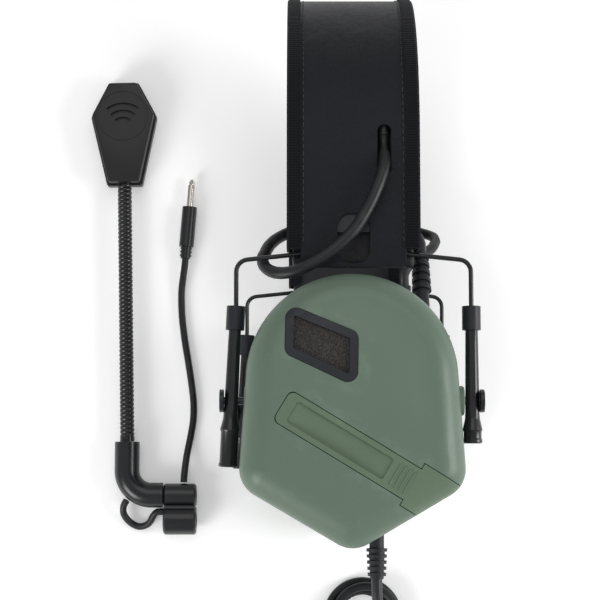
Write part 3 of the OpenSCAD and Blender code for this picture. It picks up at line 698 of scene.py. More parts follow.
@dataclass
class Cord:
    """A free cord: its route in the drawing frame, its thickness and what it joins."""

    name: str
    route: Route
    diameter: float
    far_end: str
    bodies: tuple[str, str]
    stands_for: Sequence[str]
    with_pieces: Sequence[str] = ()
    lay: Lay = Lay.LOOSE
    stiffness: str = "medium"
    fade: tuple[int, int] | None = None

    def line(self) -> list[Vector]:
        """One smooth line through the route, in metres in the row frame.

        Returns:
            Points about a third of a diameter apart.
        """
        spots = [spot(point) for point in self.route]
        spots = [2 * spots[0] - spots[1]] + spots + [2 * spots[-1] - spots[-2]]
        line = []
        for a, b, c, d in zip(spots, spots[1:], spots[2:], spots[3:]):
            count = max(2, round((c - b).length / (self.diameter * MM * 0.45)))
            for k in range(count):
                t = k / count
                line.append(0.5 * (2 * b + (c - a) * t + (2 * a - 5 * b + 4 * c - d) * t * t
                                   + (3 * b - a - 3 * c + d) * t ** 3))
        return line + [spots[-2]]

    def make(self) -> bpy.types.Object:
        """Returns:
            The cord.
        """
        line = self.line()
        curve = bpy.data.curves.new(self.name, "CURVE")
        curve.dimensions = "3D"
        curve.bevel_depth = self.diameter * MM / 2
        curve.bevel_resolution = 3
        curve.use_fill_caps = True
        spline = curve.splines.new("POLY")
        spline.points.add(len(line) - 1)
        for point, place in zip(spline.points, line):
            point.co = (*place, 1.0)
        holder = linked(self.name + "_line", curve)
        mesh = bpy.data.meshes.new_from_object(evaluated(holder))
        bpy.data.objects.remove(holder)
        bpy.data.curves.remove(curve)
        mesh.name = self.name
        mesh.shade_smooth()
        cord = linked(self.name, mesh)
        dress(cord, CABLE)
        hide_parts(*self.stands_for)
        length = sum((b - a).length for a, b in zip(line, line[1:]))
        if self.fade is None:
            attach(cord, self.bodies[0])
        else:
            first, last = (spot(self.route[i]) for i in self.fade)
            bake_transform(cord)
        self.diameter * MM
        LOG.info("%s: %.3f m", self.name, length)
        return cord


@dataclass
class Hank:
    """The folded part of the radio lead."""

    x: float = 9.0
    top_y: float = -98.4
    low_y: float = -164.4
    inner: float = 12.9
    outer: float = 17.25
    low_z: float = 2.2
    high_z: float = 6.55

    def turn(self, left: float, right: float, z_left: float, z_down: tuple[float, float],
             z_bottom: float, radii: tuple[float, float]) -> Route:
        """One turn: up the left, over the top, down the right and round the bottom.

        Args:
            left: distance of the left run from the middle.
            right: distance of the right run.
            z_left: height of the left run.
            z_down: heights at the top and foot of the right run.
            z_bottom: height of the bottom fold.
            radii: distance from the middle where the bottom fold starts and ends.
        Returns:
            The points of the turn.
        """
        run, fold = (0.1, 0.35, 0.65, 0.9), [k / 6 for k in range(7)]
        rise = self.top_y - self.low_y
        route = [(self.x - left, self.low_y + rise * share, z_left) for share in run]
        for share in fold:
            a, r = math.pi * (1 - share), left + (right - left) * share
            route.append((self.x + r * math.cos(a), self.top_y + r * math.sin(a),
                          z_left + (z_down[0] - z_left) * share))
        route += [(self.x + right, self.top_y - rise * share,
                   z_down[0] + (z_down[1] - z_down[0]) * share) for share in run]
        for share in fold:
            a, r = -math.pi * share, radii[0] + (radii[1] - radii[0]) * share
            route.append((self.x + r * math.cos(a), self.low_y + r * math.sin(a), z_bottom))
        return route

    def route(self) -> Route:
        """Three turns, the last one left open at the bottom for the plug's end."""
        low, high, small, wide = self.low_z, self.high_z, self.inner, self.outer
        return (self.turn(wide, wide, low, (low, low), low, (wide, small))
                + self.turn(small, small, low, (low, high), high, (small, small))
                + self.turn(small, wide, high, (high, high), high, (wide, wide))[:-3])


@dataclass
class Cords:
    """Every free cord of the headset."""

    link: float = 5.0
    lead: float = 4.3
    thin: float = 3.4
    hank: Hank = field(default_factory=Hank)
    left_low: Route = field(default_factory=lambda: [
        (28, 62, 146.6), (28, 66, 144.86), (26, 69.8, 143.6), (21, 72, 143.4), (14, 72.8, 143.8),
        (5, 73, 144.3), (-5, 73, 144.8), (-14, 72.6, 145.4), (-23, 71.2, 146.4),
        (-30, 68, 148.8), (-34.2, 64, 152.2), (-36, 60, 155.4)])
    left_high: Route = field(default_factory=lambda: [
        (-36, 60, 155.4), (-36.9, 58, 157), (-36, 54.6, 159.6), (-33.4, 52.2, 162.8),
        (-29, 51, 165.9), (-22, 52, 168.8), (-13, 56.5, 170), (-6, 62, 170.3),
        (0.5, 68.5, 170.2), (6, 77.5, 170), (9.8, 86, 169.4), (12.3, 94, 167.4),
        (12.5, 99, 163.6), (12.5, 104.5, 160.6), (12.5, 108.1, 160.6)])
    right_low: Route = field(default_factory=lambda: [
        (28, 62, 37.4), (28, 66, 39.14), (30.6, 70.3, 39.4), (35, 74, 36.2), (40, 78, 31),
        (42.5, 80, 28.4), (44.4, 83.6, 23.6)])
    right_high: Route = field(default_factory=lambda: [
        (44.4, 83.6, 23.6), (44.1, 85.6, 21), (42.6, 87.2, 18.6), (37, 89.4, 15.6),
        (31, 90.2, 15), (25, 90.6, 15), (19, 91.8, 15), (14.8, 94.4, 15.4), (12.7, 98.2, 17),
        (12.5, 101.6, 20.4), (12.5, 105, 23.4), (12.5, 108.1, 23.4)])
    drop: Route = field(default_factory=lambda: [
        (9, -70.6, 158), (9, -74.6, 158), (9.4, -81, 157.2), (11.2, -90, 153.6),
        (14.8, -98.6, 146.8), (19.5, -107, 136), (24.5, -113.5, 121), (28.5, -117.5, 104),
        (31.5, -120, 86), (34, -122, 68), (35.5, -124, 50), (36.5, -126, 33), (37, -130, 18),
        (37.2, -137, 7), (37.3, -145, 2.6), (37.3, -156, 2.2), (37, -165, 2.2),
        (35.5, -175, 2.2), (32, -184.5, 2.2), (25.5, -192.5, 2.2), (17, -196, 2.2),
        (8, -195, 2.2), (0, -190.6, 2.2), (-5, -183.4, 2.2), (-7.6, -174.5, 2.2)])
    to_plug: Route = field(default_factory=lambda: [
        (1, -184.6, 6.6), (-5, -187.2, 6.6), (-10, -190, 6.4), (-15, -193.6, 5.2),
        (-20, -197.5, 3.6), (-26, -200.4, 2.6), (-32, -200.2, 3.2), (-37, -196.6, 5.2),
        (-39.6, -191.4, 6.8), (-40, -187, 7), (-40, -182, 7)])
    loop: Route = field(default_factory=lambda: [
        (-106.5, -41.8, 7.1), (-108, -44.5, 6.2), (-108, -48.5, 4.2), (-105, -52.5, 2.4),
        (-100.5, -54.6, 1.8), (-95.8, -53, 3.4), (-93.4, -49.2, 6), (-91.4, -47.3, 7.1),
        (-88.35, -47.3, 7.1)])
    mic: Route = field(default_factory=lambda: [
        (-78.5, -32.9, 7.1), (-78.3, -29, 6.9), (-77.4, -20, 3.8), (-75.6, -10, 1.8),
        (-74.4, -2, 1.7), (-74.3, 6, 1.7), (-75.3, 15, 1.7), (-77, 26, 1.7), (-79, 38, 1.7),
        (-80.4, 50, 1.7), (-80.7, 61, 1.9), (-79.8, 69, 3.2), (-79.12, 74, 3.65),
        (-78.8, 78, 3.65)])

    def make(self) -> None:
        """Make all cords."""
        links = {"left": (self.left_low, self.left_high),
                 "right": (self.right_low, self.right_high)}
        for side, (low, high) in links.items():
            cup, yoke = f"{side}_cup", f"{side}_yoke"
            Cord(f"{side}_link_low", low, self.link, "object", (cup, yoke),
                 [f"{side}_link_cable_low"], fade=(0, -1)).make()
            Cord(f"{side}_link_high", high, self.link, "object", (yoke, "headband"),
                 [f"{side}_link_cable_high"], fade=(0, -3)).make()
        Cord("radio_lead", self.drop + self.hank.route() + self.to_plug, self.lead, "plug",
             ("left_cup", "left_yoke"), ["radio_lead_drop", "radio_lead_run", "radio_lead_hank"],
             ["radio_lead_relief", "hank_tie", "radio_plug_body", "radio_plug_pin"],
             Lay.COILED, fade=(0, 6)).make()
        Cord("boom_cable", self.loop, self.thin, "object", ("boom", "boom_clip"),
             ["boom_cable_loop"], fade=(0, -1)).make()
        Cord("microphone_lead", self.mic, self.thin, "plug", ("boom_clip", "boom_clip"),
             ["mic_lead"], ["mic_plug_body", "mic_plug_pin"]).make()


# ---------------------------------------------------------------- cups


# Radius and height along the pivot's axis, from the shell's flank out to the boss's mouth
BOSS: Flat = [(0, 33.5), (7.2, 33.5), (6.4, 39), (6, 41.2), (6, 43.4), (5.5, 43.9),
              (1.55, 43.9), (1.55, 36), (0, 36)]


class Side(Enum):
    """Which cup."""

    LEFT = "left"
    RIGHT = "right"


@dataclass
class Cup:
    """One ear cup: domed shell, window, door or plain face, cushion and lining."""

    side: Side
    face: float = 22.0
    back: float = 12.0
    edge: float = 11.0
    wall: float = 2.4
    top_r: float = 42.0
    corner_r: float = 12.0
    middle_x: float = -1.0
    crown: float = 2.1
    groove: float = 1.1
    cushion_t: float = 17.0
    seat: float = 2.8
    rib: float = 4.6
    rib_pitch: float = 2.1
    door_wall: float = 1.35
    ear_hole_r: float = 19.5
    ear_hole_half: float = 10.0
    button_hole_r: float = 3.7
    window: tuple = ((-23.2, 31.4), (-3.0, 22.9), (-3.2, 10.5), (-23.4, 20.1))
    door_start: tuple[float, float] = (-28.6, -2.6)
    door_angle: float = -31.2
    door_len: float = 59.0
    door_w: float = 13.5
    door_end_w: float = 18.4

    @property
    def rings(self) -> list[Point]:
        """The circles whose hull is the cup's outline."""
        reach = self.top_r - 9.5
        return [(0, 8, self.top_r), (reach, -27, self.corner_r), (-reach, -27, self.corner_r),
                (0, -46, self.corner_r)]

    def piece(self, part: str, bm: Solid, finish: Finish, stands_for: str = "",
              **shape: float) -> bpy.types.Object:
        """Make one piece that rides on the cup.

        Args:
            part: its name after the side.
            bm: its mesh in the cup's own frame.
            finish: its finish.
            stands_for: the name after the side of the node that it replaces, if any.
            shape: its sharp angle, bevel and subdivision.
        Returns:
            The object.
        """
        side = self.side.value
        nodes = [f"{side}_{stands_for}"] if stands_for else ()
        return Piece(f"{side}_{part}", self.placed(bm), f"{side}_cup", finish, nodes,
                     **shape).make()

    def placed(self, bm: Solid) -> Solid:
        """Move a mesh from the cup's own frame to the row frame."""
        if self.side is Side.LEFT:
            return moved(bm, at(0, 0, LEFT_Z))
        return moved(bm, at(0, 0, RIGHT_Z) @ Matrix.Scale(-1, 4, (0, 0, 1)))

    def outline(self, inset: float, z: float, count: int = 128) -> Solid:
        """A flat face in the cup's outline, inset from it."""
        return hulled(self.rings, -inset, z, count, self.middle_x)

    def plate(self, inset: float, z: float, t: float, count: int = 128) -> Solid:
        """A plate in the cup's outline."""
        return outward(raised(self.outline(inset, z, count), t))

    def dome(self, inset: float, z_low: float) -> Solid:
        """The solid dome, shrunk by inset, from z_low to the outer face.

        Args:
            inset: how far inside the outer skin.
            z_low: height of its lower face.
        Returns:
            The closed solid, cut into a grid.
        """
        bm = self.plate(inset, z_low, self.face - inset - z_low)
        high = self.face - inset - 0.01
        rim = [e for e in bm.edges if all(v.co.z > high for v in e.verts)]
        rounded(bm, rim, self.edge - inset, 9)
        bmesh.ops.remove_doubles(bm, verts=bm.verts, dist=0.01)
        return gridded(bm, 4.0, 60.0)

    def layer(self, bm: Solid, outer: float, inner: float) -> Solid:
        """Keep what lies between two depths under the outer skin."""
        bm = carved(bm, self.dome(outer, 0), "INTERSECT")
        return carved(bm, self.dome(inner, -1))

    def crowned(self, bm: Solid) -> Solid:
        """Let the face fall towards its rim, with a soft groove inside the upper and rear rim.

        Args:
            bm: a mesh in the cup's frame.
        Returns:
            The same mesh.
        """
        flank_top, rise, fall_width = 2, 16, 30
        groove_in, groove_width, groove_way = 13.5, 4.2, math.radians(62)
        flat = self.outline(0, 0, 96)
        rim = np.array([v.co[:2] for v in flat.verts])
        flat.free()
        rim = rim[np.argsort(np.arctan2(rim[:, 1] + 10, rim[:, 0] + 1))]
        run = np.roll(rim, -1, axis=0) - rim
        for vert in bm.verts:
            if vert.co.z < flank_top:
                continue
            place = np.array(vert.co[:2])
            share = np.clip(((place - rim) * run).sum(1) / (run * run).sum(1), 0, 1)
            away = float(np.sqrt(((rim + run * share[:, None] - place) ** 2).sum(1)).min())
            high = min(1.0, (vert.co.z - flank_top) / rise)
            fall = 1 - min(1.0, away / fall_width)
            turn = math.atan2(place[1] + 4, place[0] + 1)
            part = max(0.0, math.cos(turn - groove_way)) ** 0.7
            dip = math.exp(-((away - groove_in) / groove_width) ** 2) * part
            vert.co.z -= high * (self.crown * fall * fall * (3 - 2 * fall) + self.groove * dip)
        return bm

    def window_prism(self, radius: float, z: float, t: float) -> Solid:
        """The window as a solid, with a radius round its four corner points."""
        corners = [(x, y, 0.0) for x, y in self.window]
        return outward(raised(hulled(corners, radius, z, 48), t))

    def door_prism(self, gap: float, z: float, t: float) -> Solid:
        """The door's outline as a solid.

        Args:
            gap: how much wider than the door.
            z: height of the lower face.
            t: thickness.
        Returns:
            The solid.
        """
        half, wide, end = self.door_w / 2 + gap, self.door_end_w / 2 + gap, self.door_len - gap
        past = 90
        outline = [(-gap, -half), (end, -half), (end, -wide), (past, -wide), (past, wide),
                   (end, wide), (end, half), (-gap, half)]
        bm = prism(outline, z, t)
        rounded(bm, [e for e in upright(bm, t / 2) if e.verts[0].co.x < 5], 2.6)
        return moved(bm, self.door_frame())

    def door_frame(self) -> Matrix:
        """The door's own frame in the cup's frame: +X along it from its short edge."""
        return Matrix.Translation((*self.door_start, 0)) @ turned(self.door_angle, "Z")

    def shell(self) -> None:
        """The shell with its bosses, window and door or button openings."""
        bm = carved(self.dome(0, -self.back), self.dome(self.wall, -self.back - 1))
        bm = carved(bm, self.window_prism(4.2, 5, 20))
        if self.side is Side.LEFT:
            bm = carved(bm, self.door_prism(0.3, 12, 20))
        else:
            for s in (-1, 1):
                r = self.button_hole_r
                hole = lathe([(0, -9), (r, -9), (r, 9), (0, 9)])
                bm = carved(bm, moved(hole, VolumeButtons().frame(s)))
        bosses = [moved(lathe(BOSS), turned(90 * s, "Y")) for s in (-1, 1)]
        self.piece("cup_shell", joined(self.crowned(bm), *bosses), SAGE, "shell", sharp=30,
                   bevel=0.22)

    def window_pieces(self) -> None:
        """The window's frame and its foam."""
        ring = carved(self.window_prism(4, 5, 30), self.window_prism(0.8, 4, 32))
        self.piece("window_bezel", self.crowned(self.layer(ring, -0.25, 5)), SATIN_BLACK,
                   "window_frame", sharp=30, bevel=0.35)
        foam = self.layer(self.window_prism(0.75, 5, 30), 0.7, 4)
        self.piece("wind_foam", self.crowned(foam), WIND_FOAM, "window_foam", sharp=30, bevel=0.3)

    def door(self) -> None:
        """The battery door: outer skin, recess and thumb ribs."""
        skin = carved(self.dome(0, 0), self.dome(self.door_wall, -1))
        bm = carved(skin, self.door_prism(0, 12.2, 20), "INTERSECT")
        recess = prism(oblong(4.5, 48, -self.rib, self.rib), 21.45, 4, 1.2)
        bm = self.crowned(carved(bm, moved(recess, self.door_frame())))
        ribs = []
        for k in range(4):
            x = 51 + self.rib_pitch * k
            rib = prism(oblong(x, x + 0.8, -self.rib, self.rib), 21, 1.25)
            ribs.append(self.crowned(moved(gridded(rib, 3, 70), self.door_frame())))
        Piece("battery_cover", self.placed(joined(bm, *ribs)), "battery_door", DOOR_SAGE,
              ["battery_door"], sharp=30, bevel=0.2).make()

    def cushion(self) -> None:
        """The padded ear ring, blown up against its seams, with its welt and the lining."""
        z = -self.back - self.seat - self.cushion_t
        start = self.plate(6.5, z + 1.5, self.cushion_t - 3, 96)
        hole = bmesh.new()
        bmesh.ops.create_circle(hole, cap_ends=True, radius=self.ear_hole_r, segments=64)
        for vert in hole.verts:
            vert.co.x += self.middle_x
            vert.co.y += -4 + math.copysign(self.ear_hole_half, vert.co.y)
            vert.co.z = z - 2
        hole = outward(raised(hole, self.cushion_t + 4))
        ring = inflated(carved(start, hole), pressure=4.0, cap=3.4, voxel=4.5)
        low, high = z + 0.15, z + self.cushion_t - 0.1
        for vert in ring.verts:
            vert.co.z = min(max(vert.co.z, low), high)
        pad = self.piece("ear_pad", ring, CUSHION_HIDE, "cushion", sharp=80, subdivide=1)
        welt = piping(self.outline(4.6, z + self.cushion_t - 1.1), 0.75)
        self.piece("pad_welt", welt, CUSHION_HIDE, sharp=60)
        lining = self.plate(22.5, -self.back - 2.2, 0.8, 96)
        self.piece("ear_lining", lining, LINING, sharp=30, bevel=0.3)

    def make(self) -> None:
        """Make the cup's pieces."""
        self.shell()
        self.window_pieces()
        self.cushion()
        if self.side is Side.LEFT:
            self.door()


def piping(loop: Solid, radius: float) -> Solid:
    """A round cord along the rim of a flat face.

    Args:
        loop: a mesh with one face; it is used up.
        radius: the cord's radius.
    Returns:
        The closed cord.
    """
    loop.faces.ensure_lookup_table()
    spots = [v.co.copy() for v in loop.faces[0].verts]
    loop.free()
    bm, up, rings = bmesh.new(), Vector((0, 0, 1)), []
    for i, middle in enumerate(spots):
        way = (spots[(i + 1) % len(spots)] - spots[i - 1]).normalized()
        made = bmesh.ops.create_circle(bm, cap_ends=False, radius=radius, segments=8)["verts"]
        turn = Matrix((way.cross(up), up, way)).transposed().to_4x4()
        bmesh.ops.transform(bm, matrix=Matrix.Translation(middle) @ turn, verts=made)
        rings.append([e for e in bm.edges if all(v in set(made) for v in e.verts)])
    for i, ring in enumerate(rings):
        bmesh.ops.bridge_loops(bm, edges=ring + rings[(i + 1) % len(rings)])
    return outward(bm)


def inflated(bm: Solid, pressure: float, cap: float, voxel: float) -> Solid:
    """Remesh a closed form and let cloth under pressure fill it out.

    Args:
        bm: the slack form in millimetres; it is used up.
        pressure: the cloth's pressure.
        cap: the furthest that a point may move.
        voxel: the remesh size.
    Returns:
        The filled form, in millimetres.
    """
    frames, ease = 20, 0.4
    bmesh.ops.scale(bm, vec=(MM, MM, MM), verts=bm.verts)
    slack = linked("slack", meshed("slack", bm))
    step = slack.modifiers.new("voxels", "REMESH")
    step.mode, step.voxel_size = "VOXEL", voxel * MM
    slack.data = bpy.data.meshes.new_from_object(evaluated(slack))
    slack.modifiers.clear()
    before = after = [v.co.copy() for v in slack.data.vertices]
    cloth = slack.modifiers.new("cloth", "CLOTH")
    cloth.settings.use_pressure = True
    cloth.settings.uniform_pressure_force = pressure
    cloth.settings.quality = 6
    cloth.settings.mass = 0.2
    cloth.settings.tension_stiffness = cloth.settings.compression_stiffness = 25
    cloth.settings.effector_weights.gravity = 0
    cloth.point_cache.frame_start, cloth.point_cache.frame_end = 1, frames
    for number in range(1, frames + 1):
        bpy.context.scene.frame_set(number)
    after = [v.co.copy() for v in evaluated(slack).data.vertices]
    slack.modifiers.clear()
    bpy.context.scene.frame_set(1)
    result = bmesh.new()
    result.from_mesh(slack.data)
    for vert, old, new in zip(result.verts, before, after):
        shift = (new - old) / MM
        if shift.length > cap:
            shift *= cap / shift.length
        vert.co = old / MM + shift
    bmesh.ops.smooth_vert(result, verts=result.verts, factor=ease, use_axis_x=True,
                          use_axis_y=True, use_axis_z=True)
    bpy.data.objects.remove(slack)
    return result


@dataclass
class VolumeButtons:
    """The two domed volume buttons on the right cup's rear flank."""

    radius: float = 3.5
    half_pitch: float = 7.0
    flank: float = math.atan2(19, 32.5)
    middle: tuple[float, float] = (21.306, -46.86)
    mark: tuple[float, float] = (1.5, 0.28)

    def frame(self, s: int) -> Matrix:
        """A button's frame in the cup's frame, +Z out of the flank."""
        x = self.middle[0] + s * self.half_pitch * math.cos(self.flank)
        y = self.middle[1] + s * self.half_pitch * math.sin(self.flank)
        return (Matrix.Translation((x, y, 0)) @ Matrix.Rotation(self.flank - math.pi / 2, 4, "Z")
                @ Matrix.Rotation(math.pi / 2, 4, "Y"))

    def make(self) -> None:
        """Make both buttons, one with a raised bar and one with a raised cross."""
        r, (long, thin) = self.radius, self.mark
        bar, cross = oblong(-long, long, -thin, thin), oblong(-thin, thin, -long, long)
        dome = [(0, -5), (4.5, -5), (4.5, -3.8), (r, -3.8), (r, 0.7), (r - 0.25, 1.05),
                (r - 0.8, 1.2), (2.4, 1.05), (0, 0.85)]
        for s, name, outlines in ((1, "volume_up", (bar, cross)), (-1, "volume_down", (bar,))):
            marks = [prism(outline, 0.6, 0.6) for outline in outlines]
            bm = Cup(Side.RIGHT).placed(moved(joined(lathe(dome), *marks), self.frame(s)))
            Piece(f"{name}_cap", bm, f"{name}_button", RUBBER, [f"{name}_button"],
                  sharp=35).make()


# ---------------------------------------------------------------- headband


@dataclass
class Headband:
    """Leather cover, padded liner, grosgrain edges and stitching, bent over the arch."""

    half: float = 26.0
    axis_r: float = 70.0
    arc_y: float = 108.1
    cover_in: float = 71.3
    cover_t: float = 1.6
    liner_out: float = 68.7
    liner_t: float = 8.5
    tape_w: float = 5.6
    end_y: float = 61.0
    flap_y: float = 53.6
    flap_half: float = 21.3
    hole_x: float = 12.5
    hole_y: float = 101.5
    quilts: int = 7

    @property
    def span(self) -> float:
        """Length of the arch's middle line from the pivot line's height over the crown."""
        return math.pi * self.axis_r

    def bent(self, bm: Solid) -> Solid:
        """Bend a flat layout over the arch.

        Args:
            bm: x across, y along from the left leg (y is its height there), z outward radius.
        Returns:
            The bent mesh, with its along and across lengths kept as attributes, in metres.
        """
        along = bm.verts.layers.float.new("along")
        across = bm.verts.layers.float.new("across")
        for vert in bm.verts:
            x, s, r = vert.co
            vert[along], vert[across] = s * MM, x * MM
            over = s - self.arc_y
            if over <= 0:
                y, z = s, MID_Z + r
            elif over < self.span:
                a = over / self.axis_r
                y, z = self.arc_y + r * math.sin(a), MID_Z + r * math.cos(a)
            else:
                y, z = self.arc_y - (over - self.span), MID_Z - r
            vert.co = (x + LAY_X, y + LAY_Y, z)
        return outward(bm)

    def last(self, y: float) -> float:
        """Where a height on the right leg lies in the flat layout."""
        return 2 * self.arc_y + self.span - y

    def sheet(self, half: float, start: float, low: float, t: float) -> Solid:
        """A flat slab of the layout, cut finely both ways.

        Args:
            half: half its width.
            start: height where it starts on both legs.
            low: radius of its inner face.
            t: thickness.
        Returns:
            The slab.
        """
        step, run = 3.0, self.last(start) - start
        bm = prism(oblong(-half, half, start, self.last(start)), low, t)
        count = int(run / step)
        sliced(bm, 1, (start + run * k / count for k in range(1, count)))
        return sliced(bm, 0, np.arange(-half + step, half, step))

    def rippled(self, bm: Solid) -> Solid:
        """Pucker the flat cover round the cable holes and let it swell a little between edges."""
        for vert in bm.verts:
            x, s, r = vert.co
            pull = 0.0
            for hole in (self.hole_y, self.last(self.hole_y)):
                d = math.hypot(x - self.hole_x, s - hole)
                turn = math.atan2(s - hole, x - self.hole_x)
                if d > 2:
                    pull += (0.55 * math.exp(-((d - 9) / 4) ** 2)
                             * (0.55 + 0.45 * math.sin(7 * turn + 0.6)))
            swell = 0.35 * math.cos(math.pi * x / (2 * self.half)) * math.sin(s / 13.0)
            vert.co.z = r + min(0.9, max(-0.1, pull + 0.12 * swell))
        return bm

    def slots(self) -> list[Solid]:
        """The wire pocket's slots and the cable holes of both legs, in the flat layout."""
        tools = []
        for leg in (0, 1):
            for x, half, corner, *span in ((0, 6.6, 5.5, 55.2, 75.5),
                                           (self.hole_x, 2.8, 2.7, 91.2, 111.8)):
                ends = sorted(self.last(y) if leg else y for y in span)
                tools.append(prism(oblong(x - half, x + half, *ends), 60, 30, corner))
        return tools

    def cover(self) -> None:
        """The outer leather with its two flaps."""
        bm = self.sheet(self.half - 0.4, self.end_y, self.cover_in, self.cover_t)
        for tool in self.slots():
            bm = carved(bm, tool)
        flaps = []
        near, far = self.flap_y, self.end_y + 0.6
        for slot, ends in zip(self.slots()[::2], ((near, far), (self.last(far), self.last(near)))):
            outline = oblong(-self.flap_half, self.flap_half, *ends)
            flaps.append(carved(prism(outline, self.cover_in, self.cover_t, 1.2), slot))
        bm = self.bent(joined(self.rippled(bm), *flaps))
        Piece("leather_cover", bm, "headband", COVER_HIDE, ["headband_cover"], sharp=50,
              bevel=0.3).make()

    def liner(self) -> None:
        """The padded liner, with quilted channels across it."""
        low, start = self.liner_out - self.liner_t, self.end_y - 7
        bm = self.sheet(self.half - 1.2, start, low + 1.6, self.liner_t - 1.8)
        total = self.last(start) - start
        for vert in bm.verts:
            x, s, r = vert.co
            wide = abs(x) / self.half
            channel = math.sin(math.pi * self.quilts * (s - start) / total)
            belly = (1 - wide ** 4) * (0.35 + 0.65 * abs(channel) ** 0.4)
            if r < self.liner_out - self.liner_t / 2:
                vert.co.z = low + 1.5 - 1.45 * belly
        pad = Piece("padded_liner", self.bent(bm), "headband", LINER_HIDE, ["headband_liner"],
                    sharp=80, subdivide=1).make()

    def tapes(self) -> None:
        """The folded grosgrain tape along both edges."""
        past, count = 0.95, 170
        low, high = self.liner_out - self.liner_t - past, self.cover_in + self.cover_t + past
        start = self.end_y + 0.2
        stop = self.last(start)
        for s, name in ((-1, "front"), (1, "rear")):
            edge, back = s * (self.half + 1), s * (self.half - self.tape_w + 1)
            bend, inner = edge - s * 0.9, edge - s * 1.0
            outline = [(back, high - 0.75), (back, high), (bend, high), (edge, high - 0.9),
                       (edge, low + 0.9), (bend, low), (back, low), (back, low + 0.75),
                       (inner, low + 0.8), (inner, high - 0.8)]
            bm = bmesh.new()
            geom: list = [bm.faces.new([bm.verts.new((x, start, r)) for x, r in outline])]
            for _ in range(count):
                grown = bmesh.ops.extrude_face_region(bm, geom=geom)["geom"]
                tip = [v for v in grown if isinstance(v, bmesh.types.BMVert)]
                bmesh.ops.translate(bm, verts=tip, vec=(0, (stop - start) / count, 0))
                geom = [f for f in grown if isinstance(f, bmesh.types.BMFace)]
            hidden = [f for f in bm.faces if len(f.verts) > 4
                      and start + 0.01 < f.calc_center_median().y < stop - 0.01]
            bmesh.ops.delete(bm, geom=hidden, context="FACES_ONLY")
            Piece(f"{name}_edge_tape", self.bent(bm), "headband", TAPE,
                  ["headband_bindings"] if s < 0 else (), sharp=40).make()

    def stitches(self) -> None:
        """Two rows of stitches inside the tapes on the outer leather."""
        pitch, stitch = 2.9, (0.42, 1.9, 0.4)
        threads = []
        start, stop = self.end_y + 2.5, self.last(self.end_y + 2.5)
        count = int((stop - start) / pitch)
        for s in (-1, 1):
            x = s * (self.half - self.tape_w - 0.15)
            for k in range(count):
                y = start + (stop - start) * (k + 0.5) / count
                thread = bmesh.new()
                bmesh.ops.create_cube(thread, size=1)
                bmesh.ops.scale(thread, vec=stitch, verts=thread.verts)
                bmesh.ops.translate(thread, verts=thread.verts,
                                    vec=(x, y, self.cover_in + self.cover_t + 0.15))
                threads.append(thread)
        Piece("edge_stitches", self.bent(joined(*threads)), "headband", THREAD, sharp=50,
              bevel=0.12).make()

    def make(self) -> None:
        """Make the headband's pieces."""
        self.cover()
        self.liner()
        self.tapes()
        self.stitches()


# ---------------------------------------------------------------- microphone


